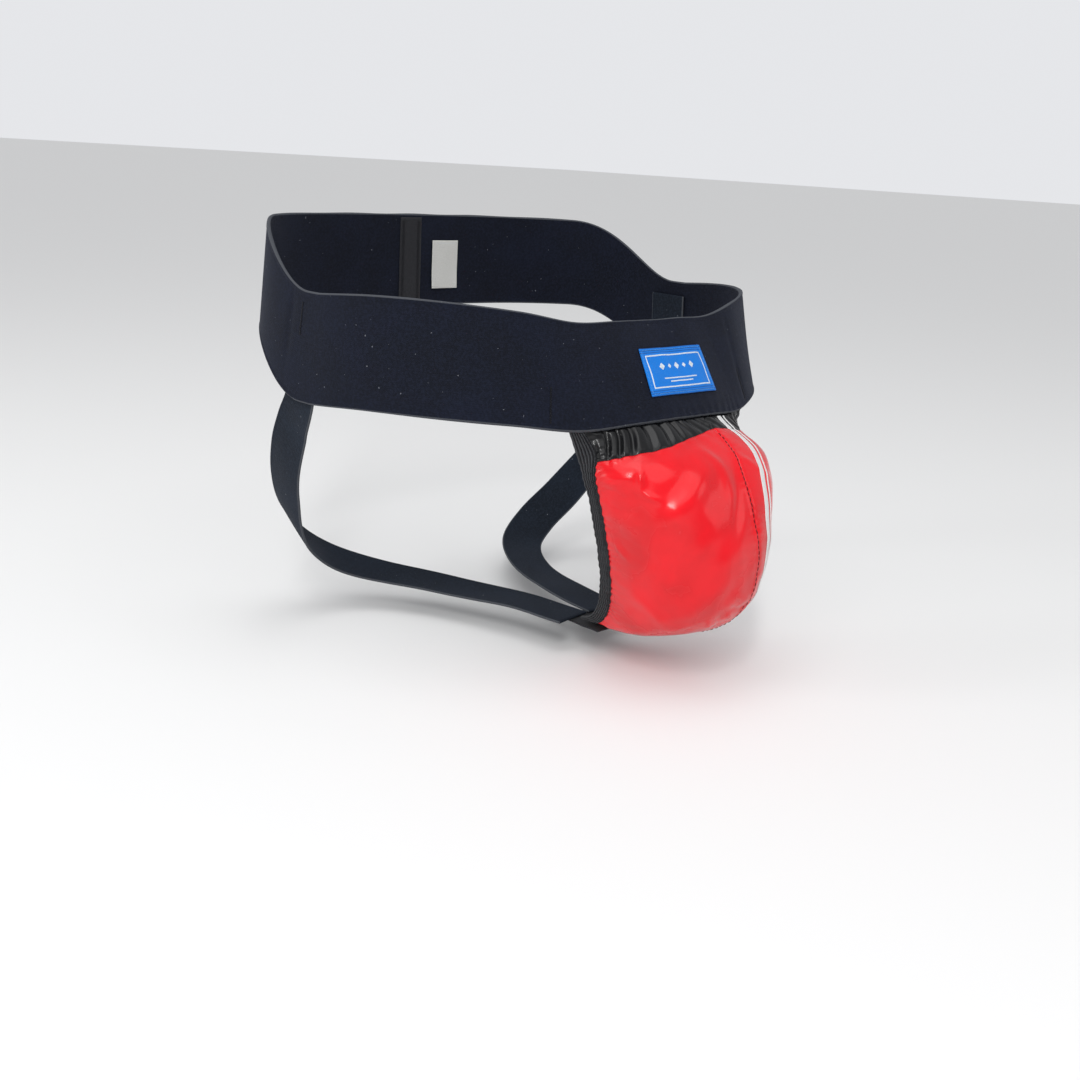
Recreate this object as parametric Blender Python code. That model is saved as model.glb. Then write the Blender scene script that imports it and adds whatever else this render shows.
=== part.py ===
"""Athletic groin protector: an elastic waistband and leg straps, a fabric pouch, and the cup inside it.

Metres, +Z up. The wearer faces -Y, and the wearer's left is +X. The origin is the centre of the waist
opening, at the middle of the band's height on the wearer's sides. Angles round the band are in radians
from the front centre, positive towards the wearer's left."""

import math

import bmesh
import bpy
import numpy as np

MM = 0.001
CLEARANCE = 0.35 * MM

# Waistband: a 65 mm elastic worn low on the hips, size M.
BAND_WIDTH = 65 * MM
BAND_THICKNESS = 2.0 * MM
HALF_WIDTH = 171 * MM
FRONT_DEPTH = 126 * MM
BACK_DEPTH = 128 * MM
FRONT_POWER = 2.3
BACK_POWER = 2.9
BACK_RISE = 39 * MM
RISE_FROM_Y = 11 * MM
RISE_TO_Y = 97 * MM
# The height in mm of the band's middle, each 15 degrees from the front centre round to the side.
FRONT_LINE = ((-3.0,), (-3.5,), (-4.5,), (0.5,), (3.5,), (3.5,), (0.0,))
FRONT_FLARE = 34 * MM
SIDE_FLARE = 6 * MM
BAND_COLUMNS = 96
LOWER_EDGE = -0.5
UPPER_EDGE = 0.5

# Woven labels, join tape and bartacks on the band.
LABEL_ANGLES = (-0.14, 0.341)
LABEL_HEIGHTS = (-0.27, 0.205)
LABEL_THICKNESS = 0.7 * MM
CARE_LABEL_ANGLES = (math.pi - 0.34, math.pi - 0.16)
CARE_LABEL_HEIGHTS = (-0.32, 0.22)
CARE_LABEL_THICKNESS = 0.4 * MM
JOIN_TAPE_HALF_ANGLE = 0.075
JOIN_TAPE_HEIGHTS = (-0.47, 0.47)
JOIN_TAPE_THICKNESS = 0.8 * MM
BARTACK_ANGLE = 0.64
BARTACK_HEIGHTS = (-0.45, -0.12)
STRAP_BARTACK_HEIGHTS = (0.10, 0.40)
BARTACK_WIDTH = 1.6 * MM
BARTACK_THICKNESS = 0.6 * MM

# Leg straps: 30 mm elastic, from inside the band at the wearer's side to the crotch.
STRAP_WIDTH = 30 * MM
STRAP_THICKNESS = 1.5 * MM
STRAP_ANGLE = math.radians(95)
STRAP_HEIGHTS = (0.34, -0.08, LOWER_EDGE)
STRAP_INSET = BAND_THICKNESS + 0.9 * MM
# The wearer's left strap below the band: a point, then the way its outer face looks there.
STRAP_ROUTE = (
    ((168, 27, -52), (1.00, -0.05, -0.05)),
    ((164, 40, -73), (1.00, -0.05, -0.15)),
    ((155, 54, -97), (0.95, 0.05, -0.30)),
    ((142, 67, -121), (0.85, 0.20, -0.45)),
    ((124, 75, -144), (0.65, 0.45, -0.60)),
    ((98, 76, -162), (0.40, 0.50, -0.77)),
    ((68, 60, -173), (0.15, 0.40, -0.90)),
    ((42, 22, -177), (0.00, 0.20, -0.98)),
    ((23, -33, -177), (0.00, 0.05, -1.00)),
    ((16, -80, -177), (0.00, 0.00, -1.00)),
)
STRAP_ROWS = 40
STRAP_COLUMNS = 3

# Pouch: rows run from leg edge to leg edge; each goes forward to the front profile.
CORNER_ANGLE = 0.565
LEFT_REACH = 0.045
HEM_HEIGHT = 8 * MM
FRONT_PROFILE = (
    (-139.0, -35.5),
    (-158, -44),
    (-180, -57),
    (-195, -81),
    (-201, -110),
    (-198, -137),
    (-181, -157),
    (-148, -169.5),
    (-92, -176),
)
LEG_EDGE = (
    (81, -127.5, -34),
    (71, -126.5, -54),
    (61, -125, -75),
    (52, -123, -96),
    (43, -120, -117),
    (35, -116, -137),
    (27, -109, -154),
    (21, -99, -167),
    (17, -88, -173),
)
ROW_POWER = 2.4
SIDE_BULGE = 12 * MM
LEFT_LEAN = 4 * MM
LEFT_FULLNESS = 7 * MM
FULL_ROWS = 0.4
BAND_BLEND = 0.22
FABRIC = 0.8 * MM
HEM_TOP = 1.0
POUCH_TALL = 200 * MM
YOKE_SHARES = (1 / 3, 2 / 3, 1.0)
YOKE_PASSES = 3
# Lines across the pouch, each at even steps: the yoke's lower edge from the wearer's right leg edge to the
# left, and the panel seam and the first stripe, both as s, from the band down to the crotch.
YOKE_LINE = ((0.133,), (0.137,), (0.136,), (0.130,), (0.100,), (0.075,), (0.097,), (0.096,), (0.096,))
SEAM_LINE = ((0.30,), (0.17,), (0.08,), (0.07,), (0.12,), (0.12,), (0.09,), (0.07,), (0.06,))
STRIPE_LINE = ((0.53,), (0.35,), (0.23,), (0.20,), (0.24,), (0.25,), (0.24,), (0.22,), (0.20,))
LEG_ELASTIC_WIDTH = 11 * MM
LEG_ELASTIC_THICKNESS = 1.4 * MM
EDGE_ROW = 0.985
POUCH_ROWS = 18
LOW_ROWS_TOP = -0.175
MIDDLE_ROWS = (-0.15, -0.125, -0.10, -0.075)
YOKE_ROWS = (-0.05, -0.025, -0.012, 0.0)
ROW_MARGIN = 0.004
FRONT_COLUMNS = 14
SIDE_COLUMNS = 10
# How far each stripe's middle lies from the stripe line towards the wearer's left, and its width.
STRIPE_WIDE = (0.0, 5.0 * MM)
STRIPE_NARROW = (6.8 * MM, 1.6 * MM)
STRIPE_ROWS = (0.015, 0.93)
STRIPE_THICKNESS = 0.4 * MM
SEAM_TAPE_WIDTH = 8 * MM
SEAM_TAPE_ROWS = (-0.97, -0.08)
LINING_ROWS = (-0.985, -0.03)
SEAM_TAPE_DEPTH = (1.2 * MM, 1.7 * MM)
LINING_DEPTH = (2.1 * MM, 2.8 * MM)
GATHER_DEPTH = (1.2 * MM, 2.2 * MM)
GATHER_ROWS = (0.05, 0.95)
GATHER_SPREAD = 0.83
INNER_COLUMNS = 24
CROTCH_PATCH = ((-18 * MM, 18 * MM), (-105 * MM, -71 * MM), (-178.9 * MM, -177.5 * MM))

# The pouch swings on the seam that joins it to the band.
POUCH_HINGE = (0.0, -141.5 * MM, -32.5 * MM)

# The cup slides out of the pouch from here.
CUP_PLACE = (0.0, -150 * MM, -100 * MM)

# Cup: a moulded shell nested in the pouch, with a soft rim and a foam liner.
CUP_MIDDLE = 0.475
CUP_HALF_HEIGHT = 0.285
CUP_HALF_SPREAD = 0.60
SHELL_DEPTH = (3.6 * MM, 6.1 * MM)
LINER_DEPTH = (6.6 * MM, 9.4 * MM)
RIM_DEPTH = (3.8 * MM, 9.2 * MM)
LINER_SHARE = 0.92
RIM_SHARES = (1.012, 1.13)
CUP_CELLS = 16
RIM_CELLS = 48
VENT_RADIUS = 3.4 * MM
VENT_SIDES = 12
VENT_LENGTH = 12 * MM
VENTS = ((0.0, -0.38), (0.0, 0.0), (0.0, 0.38), (0.42, -0.2), (0.42, 0.2), (-0.42, -0.2), (-0.42, 0.2))

DIFFERENCE_STEP = 1e-3


def clear_scene():
    for item in list(bpy.data.objects):
        bpy.data.objects.remove(item, do_unlink=True)


def material(name, colour, roughness, metallic=0.0):
    made = bpy.data.materials.new(name)
    made.use_nodes = True
    shader = made.node_tree.nodes["Principled BSDF"]
    shader.inputs["Base Color"].default_value = (*colour, 1.0)
    shader.inputs["Roughness"].default_value = roughness
    shader.inputs["Metallic"].default_value = metallic
    return made


def vectors(x, y, z):
    return np.stack(np.broadcast_arrays(x, y, z), axis=-1)


def smooth_curve(points, place):
    """The Catmull-Rom curve through the points, at places from 0, the first, to 1, the last."""
    listed = np.array(points, float)
    listed = np.vstack((2 * listed[0] - listed[1], listed, 2 * listed[-1] - listed[-2]))
    along = np.clip(place, 0, 1) * (len(listed) - 3)
    first = np.minimum(np.floor(along).astype(int), len(listed) - 4)
    t = (along - first)[..., None]
    a, b, c, d = (listed[first + i] for i in range(4))
    return 0.5 * (2 * b + (c - a) * t + (2 * a - 5 * b + 4 * c - d) * t**2 + (3 * b - a - 3 * c + d) * t**3)


def unit(v):
    return v / np.linalg.norm(v, axis=-1, keepdims=True)


def normals(surface, u, v):
    """Unit normals of a surface, on the side where u runs right and v runs up."""
    along_u = surface(u + DIFFERENCE_STEP, v) - surface(u - DIFFERENCE_STEP, v)
    along_v = surface(u, v + DIFFERENCE_STEP) - surface(u, v - DIFFERENCE_STEP)
    return unit(np.cross(along_u, along_v))


def sheet(name, finish, surface, u, v, outer, inner, ring=False):
    """A closed solid between two depths under a surface, sampled on the grid u, v; a ring joins its last
    column to its first."""
    points = surface(u, v)
    inward = -normals(surface, u, v)
    rows, columns = u.shape
    count = rows * columns
    vertices = np.concatenate(
        [(points + depth * inward).reshape(-1, 3) for depth in (outer, inner)]
    )
    index = np.arange(count).reshape(rows, columns)
    after = np.roll(index, -1, axis=1)
    last_column = columns if ring else columns - 1
    faces = []
    for i in range(rows - 1):
        for j in range(last_column):
            a, b, c, d = (int(k) for k in (index[i, j], after[i, j], after[i + 1, j], index[i + 1, j]))
            faces.append((a, b, c, d))
            faces.append((a + count, d + count, c + count, b + count))
    edges = [index[0], index[-1]]
    if not ring:
        edges += [index[:, 0], index[:, -1]]
    for edge in edges:
        loop = list(edge) + ([edge[0]] if ring else [])
        for a, b in zip(loop[:-1], loop[1:]):
            faces.append((int(a), int(b), int(b) + count, int(a) + count))
    mesh = bpy.data.meshes.new(name)
    mesh.from_pydata([tuple(p) for p in vertices], [], faces)
    editing = bmesh.new()
    editing.from_mesh(mesh)
    bmesh.ops.recalc_face_normals(editing, faces=editing.faces)
    editing.to_mesh(mesh)
    editing.free()
    mesh.materials.append(finish)
    mesh.shade_smooth()
    mesh.set_sharp_from_angle(angle=math.radians(40))
    made = bpy.data.objects.new(name, mesh)
    bpy.context.scene.collection.objects.link(made)
    return made


def hold(piece, pivot):
    """Parents a piece to its joint's empty without moving it."""
    piece.parent = pivot
    piece.matrix_parent_inverse = pivot.matrix_world.inverted()


def joint_empty(name, place):
    made = bpy.data.objects.new(name, None)
    made.location = place
    bpy.context.scene.collection.objects.link(made)
    bpy.context.view_layer.update()
    return made


# ---------------------------------------------------------------- surfaces


def band_surface(angle, height):
    """A point on the band's outer face: height runs from -0.5 at the lower edge to 0.5 at the upper."""
    side = np.sin(angle)
    back = -np.cos(angle)
    depth = np.where(back < 0, FRONT_DEPTH, BACK_DEPTH)
    power = np.where(back < 0, FRONT_POWER, BACK_POWER)
    reach = (np.abs(side / HALF_WIDTH) ** power + np.abs(back / depth) ** power) ** (-1 / power)
    x = reach * side
    y = reach * back
    climb = np.clip((y - RISE_FROM_Y) / (RISE_TO_Y - RISE_FROM_Y), 0, 1)
    quarter = np.abs(np.mod(angle + math.pi, 2 * math.pi) - math.pi) / (math.pi / 2)
    line = smooth_curve(FRONT_LINE, quarter)[..., 0] * MM
    z = BACK_RISE * climb**2 * (3 - 2 * climb) + line
    flare = FRONT_FLARE * np.clip(-back, 0, 1) ** 2 + SIDE_FLARE * side**2
    tall = np.sqrt(BAND_WIDTH**2 - flare**2)
    return vectors(x - side * flare * height, y - back * flare * height, z + tall * height)


def band_inner(angle, height, depth):
    """A point under the band's outer face, straight in from it."""
    return band_surface(angle, height) - depth * normals(band_surface, angle, height)


def pouch_surface(s, up):
    """The pouch's outer face. s runs from -1 at the wearer's right leg edge to 1 at the left. up is 0 at
    the band's lower edge and -1 at the crotch; from 0 to 1 it climbs the hem inside the band."""
    v = np.clip(-up, 0, 1)
    edge = smooth_curve(LEG_EDGE, v) * MM
    front = smooth_curve(FRONT_PROFILE, v) * MM
    turn = s * math.pi / 2
    across = np.sign(s) * np.abs(np.sin(turn)) ** (2 / ROW_POWER)
    forward = np.abs(np.cos(turn)) ** (2 / ROW_POWER)
    bulge = (SIDE_BULGE * np.sin(2 * turn) + LEFT_LEAN * np.cos(turn)) * np.sin(math.pi * v)
    full = np.clip(np.sin(turn), 0, 1) * 2 * np.cos(turn)
    bulge = bulge + LEFT_FULLNESS * full * np.sin(math.pi * np.clip(v / FULL_ROWS, 0, 1))
    bag = vectors(
        edge[..., 0] * across + bulge,
        edge[..., 1] + (front[..., 0] - edge[..., 1]) * forward,
        edge[..., 2] + (front[..., 1] - edge[..., 2]) * forward,
    )
    hem = LOWER_EDGE + HEM_HEIGHT / BAND_WIDTH * np.clip(up, 0, 1)
    angle = s * (CORNER_ANGLE + LEFT_REACH * np.clip(s, 0, 1))
    seam = band_inner(angle, hem, BAND_THICKNESS + CLEARANCE)
    fade = np.clip(1 - v / BAND_BLEND, 0, 1)
    top_edge = np.array(LEG_EDGE[0]) * MM
    top_front = np.array(FRONT_PROFILE[0]) * MM
    top = vectors(
        top_edge[0] * across,
        top_edge[1] + (top_front[0] - top_edge[1]) * forward,
        top_edge[2] + (top_front[1] - top_edge[2]) * forward,
    )
    return bag + (fade**2 * (3 - 2 * fade))[..., None] * (seam - top)


def row_scale(s, up):
    """Metres across the pouch for one unit of s."""
    gap = pouch_surface(s + DIFFERENCE_STEP, up) - pouch_surface(s - DIFFERENCE_STEP, up)
    return np.linalg.norm(gap, axis=-1) / (2 * DIFFERENCE_STEP)


def elastic_start(up):
    """The s at which the leg elastic begins, its width in from the leg edge along each row."""
    samples = np.linspace(EDGE_ROW, 0.2, 60)
    starts = []
    for height in np.ravel(up):
        line = pouch_surface(samples, np.full_like(samples, height))
        run = np.concatenate(([0.0], np.cumsum(np.linalg.norm(np.diff(line, axis=0), axis=1))))
        width = min(LEG_ELASTIC_WIDTH, 0.8 * run[-1])
        starts.append(np.interp(width, run, samples))
    return np.reshape(starts, np.shape(up))


def seam_line(up):
    return smooth_curve(SEAM_LINE, -up)[..., 0]


def yoke_line(s):
    return -smooth_curve(YOKE_LINE, (s + 1) / 2)[..., 0]


def rows(start, end, count):
    return np.linspace(start, end, count + 1)[:, None]


def pouch_rows(start, end):
    """The heights that every layer of the pouch is cut at, with its own two ends."""
    shared = np.concatenate((np.linspace(-1.0, LOW_ROWS_TOP, POUCH_ROWS), MIDDLE_ROWS, YOKE_ROWS))
    inside = shared[(shared > start + ROW_MARGIN) & (shared < end - ROW_MARGIN)]
    return np.concatenate(([start], inside, [end]))[:, None]


def columns(low, high, count):
    """A grid of s between two lines, each given at every row."""
    share = np.linspace(0, 1, count + 1)[None, :]
    return low + (high - low) * share


def between(low, high, start, end, column_count):
    """The grid of a pouch piece between two lines across s and two heights."""
    up = pouch_rows(start, end)
    s = columns(low(up), high(up), column_count)
    return s, np.broadcast_to(up, s.shape)


def rows_to_yoke(low, high, anchor, shares, offset, column_count):
    """Rows of a pouch piece, each a share of the way from a height to the yoke's lower edge and an offset."""
    across = np.linspace(0, 1, column_count + 1)
    s_rows = []
    up_rows = []
    for share in shares:
        s = low(anchor) + (high(anchor) - low(anchor)) * across
        for _ in range(YOKE_PASSES):
            up = anchor + (yoke_line(s) + offset / POUCH_TALL - anchor) * share
            s = low(up[:1]) * (1 - across) + high(up[-1:]) * across
        s_rows.append(s)
        up_rows.append(up)
    return np.array(s_rows), np.array(up_rows)


def stacked(lower, upper):
    return np.concatenate((lower[0], upper[0])), np.concatenate((lower[1], upper[1]))


def strap_surface(a, b):
    """The outer face of the wearer's left strap: a across it from -0.5 to 0.5, b along it from 0 to 1."""
    under_band = [band_inner(STRAP_ANGLE, np.float64(h), STRAP_INSET) / MM for h in STRAP_HEIGHTS]
    points = under_band + [np.array(point, float) for point, _ in STRAP_ROUTE]
    facing = [normals(band_surface, STRAP_ANGLE, np.float64(h)) for h in STRAP_HEIGHTS]
    facing += [np.array(way, float) for _, way in STRAP_ROUTE]
    centre = smooth_curve(points, b) * MM
    b = np.clip(b, 0, 1)
    ahead = smooth_curve(points, b + DIFFERENCE_STEP) - smooth_curve(points, b - DIFFERENCE_STEP)
    width = unit(np.cross(ahead, smooth_curve(facing, b)))
    return centre + (np.asarray(a) * STRAP_WIDTH)[..., None] * width


def cup_place(share, x, y):
    """Pouch coordinates of a point of the cup's rounded outline, from a point of the unit square."""
    round_x = x * np.sqrt(1 - y**2 / 2)
    round_y = y * np.sqrt(1 - x**2 / 2)
    return CUP_HALF_SPREAD * share * round_x, -CUP_MIDDLE + CUP_HALF_HEIGHT * share * round_y


# ---------------------------------------------------------------- waistband group


def make_waistband():
    finish = material("waistband_elastic", (0.012, 0.016, 0.030), 0.85)
    angle = np.linspace(-math.pi, math.pi, BAND_COLUMNS, endpoint=False)[None, :]
    height = rows(LOWER_EDGE, UPPER_EDGE, 1)
    angle, height = np.broadcast_arrays(angle, height)
    sheet("waistband", finish, band_surface, angle, height, 0.0, BAND_THICKNESS, ring=True)


def on_band(name, finish, angles, heights, outer, inner, count):
    angle = np.linspace(*angles, count + 1)[None, :]
    height = rows(*heights, 1)
    angle, height = np.broadcast_arrays(angle, height)
    sheet(name, finish, band_surface, angle, height, outer, inner)


def make_band_trim():
    front_of_band = -CLEARANCE
    behind_band = BAND_THICKNESS + CLEARANCE
    woven_blue = material("front_label_woven", (0.0, 0.16, 0.62), 0.6)
    on_band("front_label", woven_blue, LABEL_ANGLES, LABEL_HEIGHTS,
            front_of_band - LABEL_THICKNESS, front_of_band, 8)
    satin = material("care_label_satin", (0.85, 0.85, 0.83), 0.45)
    on_band("care_label", satin, CARE_LABEL_ANGLES, CARE_LABEL_HEIGHTS,
            behind_band, behind_band + CARE_LABEL_THICKNESS, 4)
    twill = material("waistband_join_twill", (0.015, 0.017, 0.025), 0.8)
    join_angles = (math.pi - JOIN_TAPE_HALF_ANGLE, math.pi + JOIN_TAPE_HALF_ANGLE)
    on_band("waistband_join_tape", twill, join_angles, JOIN_TAPE_HEIGHTS,
            behind_band, behind_band + JOIN_TAPE_THICKNESS, 4)


def make_bartack(name, angle, heights):
    """A short bar of dense stitching, standing proud of the band."""
    thread = material(name + "_thread", (0.004, 0.004, 0.006), 0.5)
    half = BARTACK_WIDTH / 2 / HALF_WIDTH
    on_band(name, thread, (angle - half, angle + half), heights,
            -CLEARANCE - BARTACK_THICKNESS, -CLEARANCE, 1)


def make_leg_strap(name, side):
    finish = material(name + "_elastic", (0.020, 0.030, 0.045), 0.8)
    across = np.linspace(-0.5, 0.5, STRAP_COLUMNS + 1)[None, :]
    along = rows(0.0, 1.0, STRAP_ROWS)
    across, along = np.broadcast_arrays(across, along)

    def surface(a, b):
        return strap_surface(a, b) * np.array((side, 1.0, 1.0))

    sheet(name, finish, surface, across, along, 0.0, side * STRAP_THICKNESS)


# ---------------------------------------------------------------- pouch group


def make_pouch_panels(pivot):
    glossy_red = (0.62, 0.008, 0.02)
    red = material("pouch_front_nylon", glossy_red, 0.25)
    red_side = material("pouch_side_nylon", glossy_red, 0.25)

    def right_edge(up):
        return -elastic_start(up) + CLEARANCE / row_scale(-elastic_start(up), up)

    def left_edge(up):
        return -right_edge(up)

    def seam_right(up):
        return seam_line(up) - CLEARANCE / 2 / row_scale(seam_line(up), up)

    def seam_left(up):
        return seam_line(up) + CLEARANCE / 2 / row_scale(seam_line(up), up)

    pieces = []
    for name, finish, low, high, count in (
        ("pouch_front_panel", red, right_edge, seam_right, FRONT_COLUMNS),
        ("pouch_side_panel", red_side, seam_left, left_edge, SIDE_COLUMNS),
    ):
        fixed = between(low, high, -1.0, LOW_ROWS_TOP, count)
        sliding = rows_to_yoke(low, high, LOW_ROWS_TOP, YOKE_SHARES, -CLEARANCE / 2, count)
        s, up = stacked(fixed, sliding)
        pieces.append(sheet(name, finish, pouch_surface, s, up, 0.0, FABRIC))

    black = (0.006, 0.006, 0.008)
    for name, low, high, count in (
        ("pouch_yoke_right", right_edge, seam_right, FRONT_COLUMNS),
        ("pouch_yoke_left", seam_left, left_edge, SIDE_COLUMNS),
    ):
        finish = material(name + "_nylon", black, 0.22)
        fixed = between(low, high, YOKE_ROWS[0], HEM_TOP, count)
        sliding = rows_to_yoke(low, high, YOKE_ROWS[0], YOKE_SHARES[::-1], CLEARANCE / 2, count)
        s, up = stacked(sliding, fixed)
        pieces.append(sheet(name, finish, pouch_surface, s, up, 0.0, FABRIC))
    for piece in pieces:
        hold(piece, pivot)


def make_leg_elastics(pivot):
    heights = pouch_rows(-1.0, HEM_TOP)
    start = elastic_start(heights)
    edge = np.full_like(start, EDGE_ROW)
    for name, side in (("leg_elastic_right", -1.0), ("leg_elastic_left", 1.0)):
        finish = material(name + "_rib", (0.010, 0.010, 0.012), 0.75)
        s = columns(side * start, side * edge, 2)
        if side < 0:
            s = s[:, ::-1]
        up = np.broadcast_to(heights, s.shape)
        hold(sheet(name, finish, pouch_surface, s, up, 0.0, LEG_ELASTIC_THICKNESS), pivot)


def make_stripes(pivot):
    """Two tapes of unequal width that run down the side panel from the band."""
    for name, (place, width) in (("stripe_wide", STRIPE_WIDE), ("stripe_narrow", STRIPE_NARROW)):
        finish = material(name + "_tape", (0.85, 0.85, 0.85), 0.5)
        up = pouch_rows(-STRIPE_ROWS[1], -STRIPE_ROWS[0])
        middle = smooth_curve(STRIPE_LINE, -up)[..., 0]
        middle = middle + place / row_scale(middle, up)
        half = width / 2 / row_scale(middle, up)
        s = columns(middle - half, middle + half, 1)
        up = np.broadcast_to(up, s.shape)
        tape = sheet(name, finish, pouch_surface, s, up, -CLEARANCE - STRIPE_THICKNESS, -CLEARANCE)
        hold(tape, pivot)


def make_pouch_inside(pivot):
    tape = material("seam_tape_twill", (0.02, 0.02, 0.022), 0.8)
    up = pouch_rows(*SEAM_TAPE_ROWS)
    middle = seam_line(up)
    half = SEAM_TAPE_WIDTH / 2 / row_scale(middle, up)
    s = columns(middle - half, middle + half, 2)
    up = np.broadcast_to(up, s.shape)
    hold(sheet("panel_seam_tape", tape, pouch_surface, s, up, *SEAM_TAPE_DEPTH), pivot)

    mesh_knit = material("lining_knit", (0.03, 0.03, 0.032), 0.9)

    def lining_edge(up):
        return elastic_start(up)

    def lining_other_edge(up):
        return -elastic_start(up)

    s, up = between(lining_other_edge, lining_edge, *LINING_ROWS, INNER_COLUMNS)
    hold(sheet("pouch_lining", mesh_knit, pouch_surface, s, up, *LINING_DEPTH), pivot)

    gather = material("yoke_gather_elastic", (0.015, 0.015, 0.017), 0.75)
    up = np.array(GATHER_ROWS)[:, None]
    s = columns(np.full_like(up, -GATHER_SPREAD), np.full_like(up, GATHER_SPREAD), INNER_COLUMNS)
    up = np.broadcast_to(up, s.shape)
    hold(sheet("yoke_gather_elastic", gather, pouch_surface, s, up, *GATHER_DEPTH), pivot)


def make_crotch_patch(pivot):
    (x0, x1), (y0, y1), (z0, z1) = CROTCH_PATCH
    webbing = material("crotch_patch_webbing", (0.012, 0.012, 0.015), 0.8)
    mesh = bpy.data.meshes.new("crotch_patch")
    editing = bmesh.new()
    bmesh.ops.create_cube(editing, size=1.0)
    bmesh.ops.scale(editing, vec=(x1 - x0, y1 - y0, z1 - z0), verts=editing.verts)
    bmesh.ops.translate(editing, vec=((x0 + x1) / 2, (y0 + y1) / 2, (z0 + z1) / 2), verts=editing.verts)
    editing.to_mesh(mesh)
    editing.free()
    mesh.materials.append(webbing)
    patch = bpy.data.objects.new("crotch_patch", mesh)
    bpy.context.scene.collection.objects.link(patch)
    hold(patch, pivot)


# ---------------------------------------------------------------- cup group


def cup_grid(share):
    side = np.linspace(-1, 1, CUP_CELLS + 1)
    x, y = np.meshgrid(side, side)
    return cup_place(share, x, y)


def vent_cutter(number, x, y):
    """A drill through the shell, square to its face."""
    s, up = cup_place(1.0, np.array([x]), np.array([y]))
    out = normals(pouch_surface, s, up)[0]
    middle = pouch_surface(s, up)[0] - out * (SHELL_DEPTH[0] + SHELL_DEPTH[1]) / 2
    mesh = bpy.data.meshes.new("vent_cutter")
    editing = bmesh.new()
    bmesh.ops.create_cone(editing, cap_ends=True, segments=VENT_SIDES, radius1=VENT_RADIUS,
                          radius2=VENT_RADIUS, depth=VENT_LENGTH)
    editing.to_mesh(mesh)
    editing.free()
    cutter = bpy.data.objects.new(f"vent_cutter_{number}", mesh)
    cutter.rotation_mode = "QUATERNION"
    z_axis = np.array((0.0, 0.0, 1.0))
    axis = np.cross(z_axis, out)
    swing = math.acos(float(np.clip(out @ z_axis, -1, 1)))
    axis = unit(axis)
    half = math.sin(swing / 2)
    cutter.rotation_quaternion = (math.cos(swing / 2), axis[0] * half, axis[1] * half, axis[2] * half)
    cutter.location = middle
    cutter.hide_render = True
    cutter.display_type = "WIRE"
    bpy.context.scene.collection.objects.link(cutter)
    return cutter


def make_cup(pivot):
    plastic = material("cup_plastic", (0.72, 0.73, 0.72), 0.4)
    s, up = cup_grid(1.0)
    shell = sheet("cup_shell", plastic, pouch_surface, s, up, *SHELL_DEPTH)
    for number, (x, y) in enumerate(VENTS):
        cut = shell.modifiers.new(f"vent_{number}", "BOOLEAN")
        cut.operation = "DIFFERENCE"
        cut.object = vent_cutter(number, x, y)
    foam = material("cup_liner_foam", (0.10, 0.10, 0.11), 0.9)
    s, up = cup_grid(LINER_SHARE)
    liner = sheet("cup_liner", foam, pouch_surface, s, up, *LINER_DEPTH)
    rubber = material("cup_rim_rubber", (0.02, 0.02, 0.022), 0.6)
    turn = np.linspace(0, 2 * math.pi, RIM_CELLS, endpoint=False)[None, :]
    share = np.array(RIM_SHARES)[:, None]
    s = CUP_HALF_SPREAD * share * np.cos(turn)
    up = -CUP_MIDDLE + CUP_HALF_HEIGHT * share * np.sin(turn)
    rim = sheet("cup_rim", rubber, pouch_surface, s, up, *RIM_DEPTH, ring=True)
    for piece in (shell, liner, rim):
        hold(piece, pivot)


def main():
    clear_scene()
    make_waistband()
    make_band_trim()
    for word, side in (("right", -1), ("left", 1)):
        make_bartack(f"bartack_front_{word}", side * BARTACK_ANGLE, BARTACK_HEIGHTS)
        make_bartack(f"bartack_strap_{word}", side * STRAP_ANGLE, STRAP_BARTACK_HEIGHTS)
        make_leg_strap(f"leg_strap_{word}", side)
    hinge = joint_empty("pouch_hinge", POUCH_HINGE)
    make_pouch_panels(hinge)
    make_leg_elastics(hinge)
    make_stripes(hinge)
    make_pouch_inside(hinge)
    make_crotch_patch(hinge)
    slide = joint_empty("cup_slide_axis", CUP_PLACE)
    hold(slide, hinge)
    make_cup(slide)


main()
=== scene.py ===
"""The looks of the groin protector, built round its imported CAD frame.

Metres, +Z up, in the frame's own axes. The shape functions repeat those of the CAD source, and each piece
is a finer mesh over the same surface, with its folds, ribs, stitches and rounded edges."""

import math

import bpy
import numpy as np
from mathutils import Matrix, Vector


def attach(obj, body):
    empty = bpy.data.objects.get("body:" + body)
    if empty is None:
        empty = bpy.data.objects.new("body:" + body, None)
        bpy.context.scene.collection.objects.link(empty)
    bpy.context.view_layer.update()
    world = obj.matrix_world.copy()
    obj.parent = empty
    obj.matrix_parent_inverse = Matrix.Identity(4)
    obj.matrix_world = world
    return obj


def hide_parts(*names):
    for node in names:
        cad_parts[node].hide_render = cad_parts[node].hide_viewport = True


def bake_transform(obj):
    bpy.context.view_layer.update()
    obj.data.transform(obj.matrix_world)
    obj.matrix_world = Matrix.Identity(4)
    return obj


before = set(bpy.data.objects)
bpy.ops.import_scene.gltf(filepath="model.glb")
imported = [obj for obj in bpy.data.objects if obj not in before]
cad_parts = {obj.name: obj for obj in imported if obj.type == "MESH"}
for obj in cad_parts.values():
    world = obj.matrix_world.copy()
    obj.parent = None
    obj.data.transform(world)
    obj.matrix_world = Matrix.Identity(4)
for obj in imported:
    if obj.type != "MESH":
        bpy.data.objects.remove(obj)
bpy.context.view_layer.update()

MM = 0.001
WAIST = "waistband_assembly"
POUCH = "pouch"
CUP = "cup"

# ---------------------------------------------------------------- the CAD's own sizes

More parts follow.
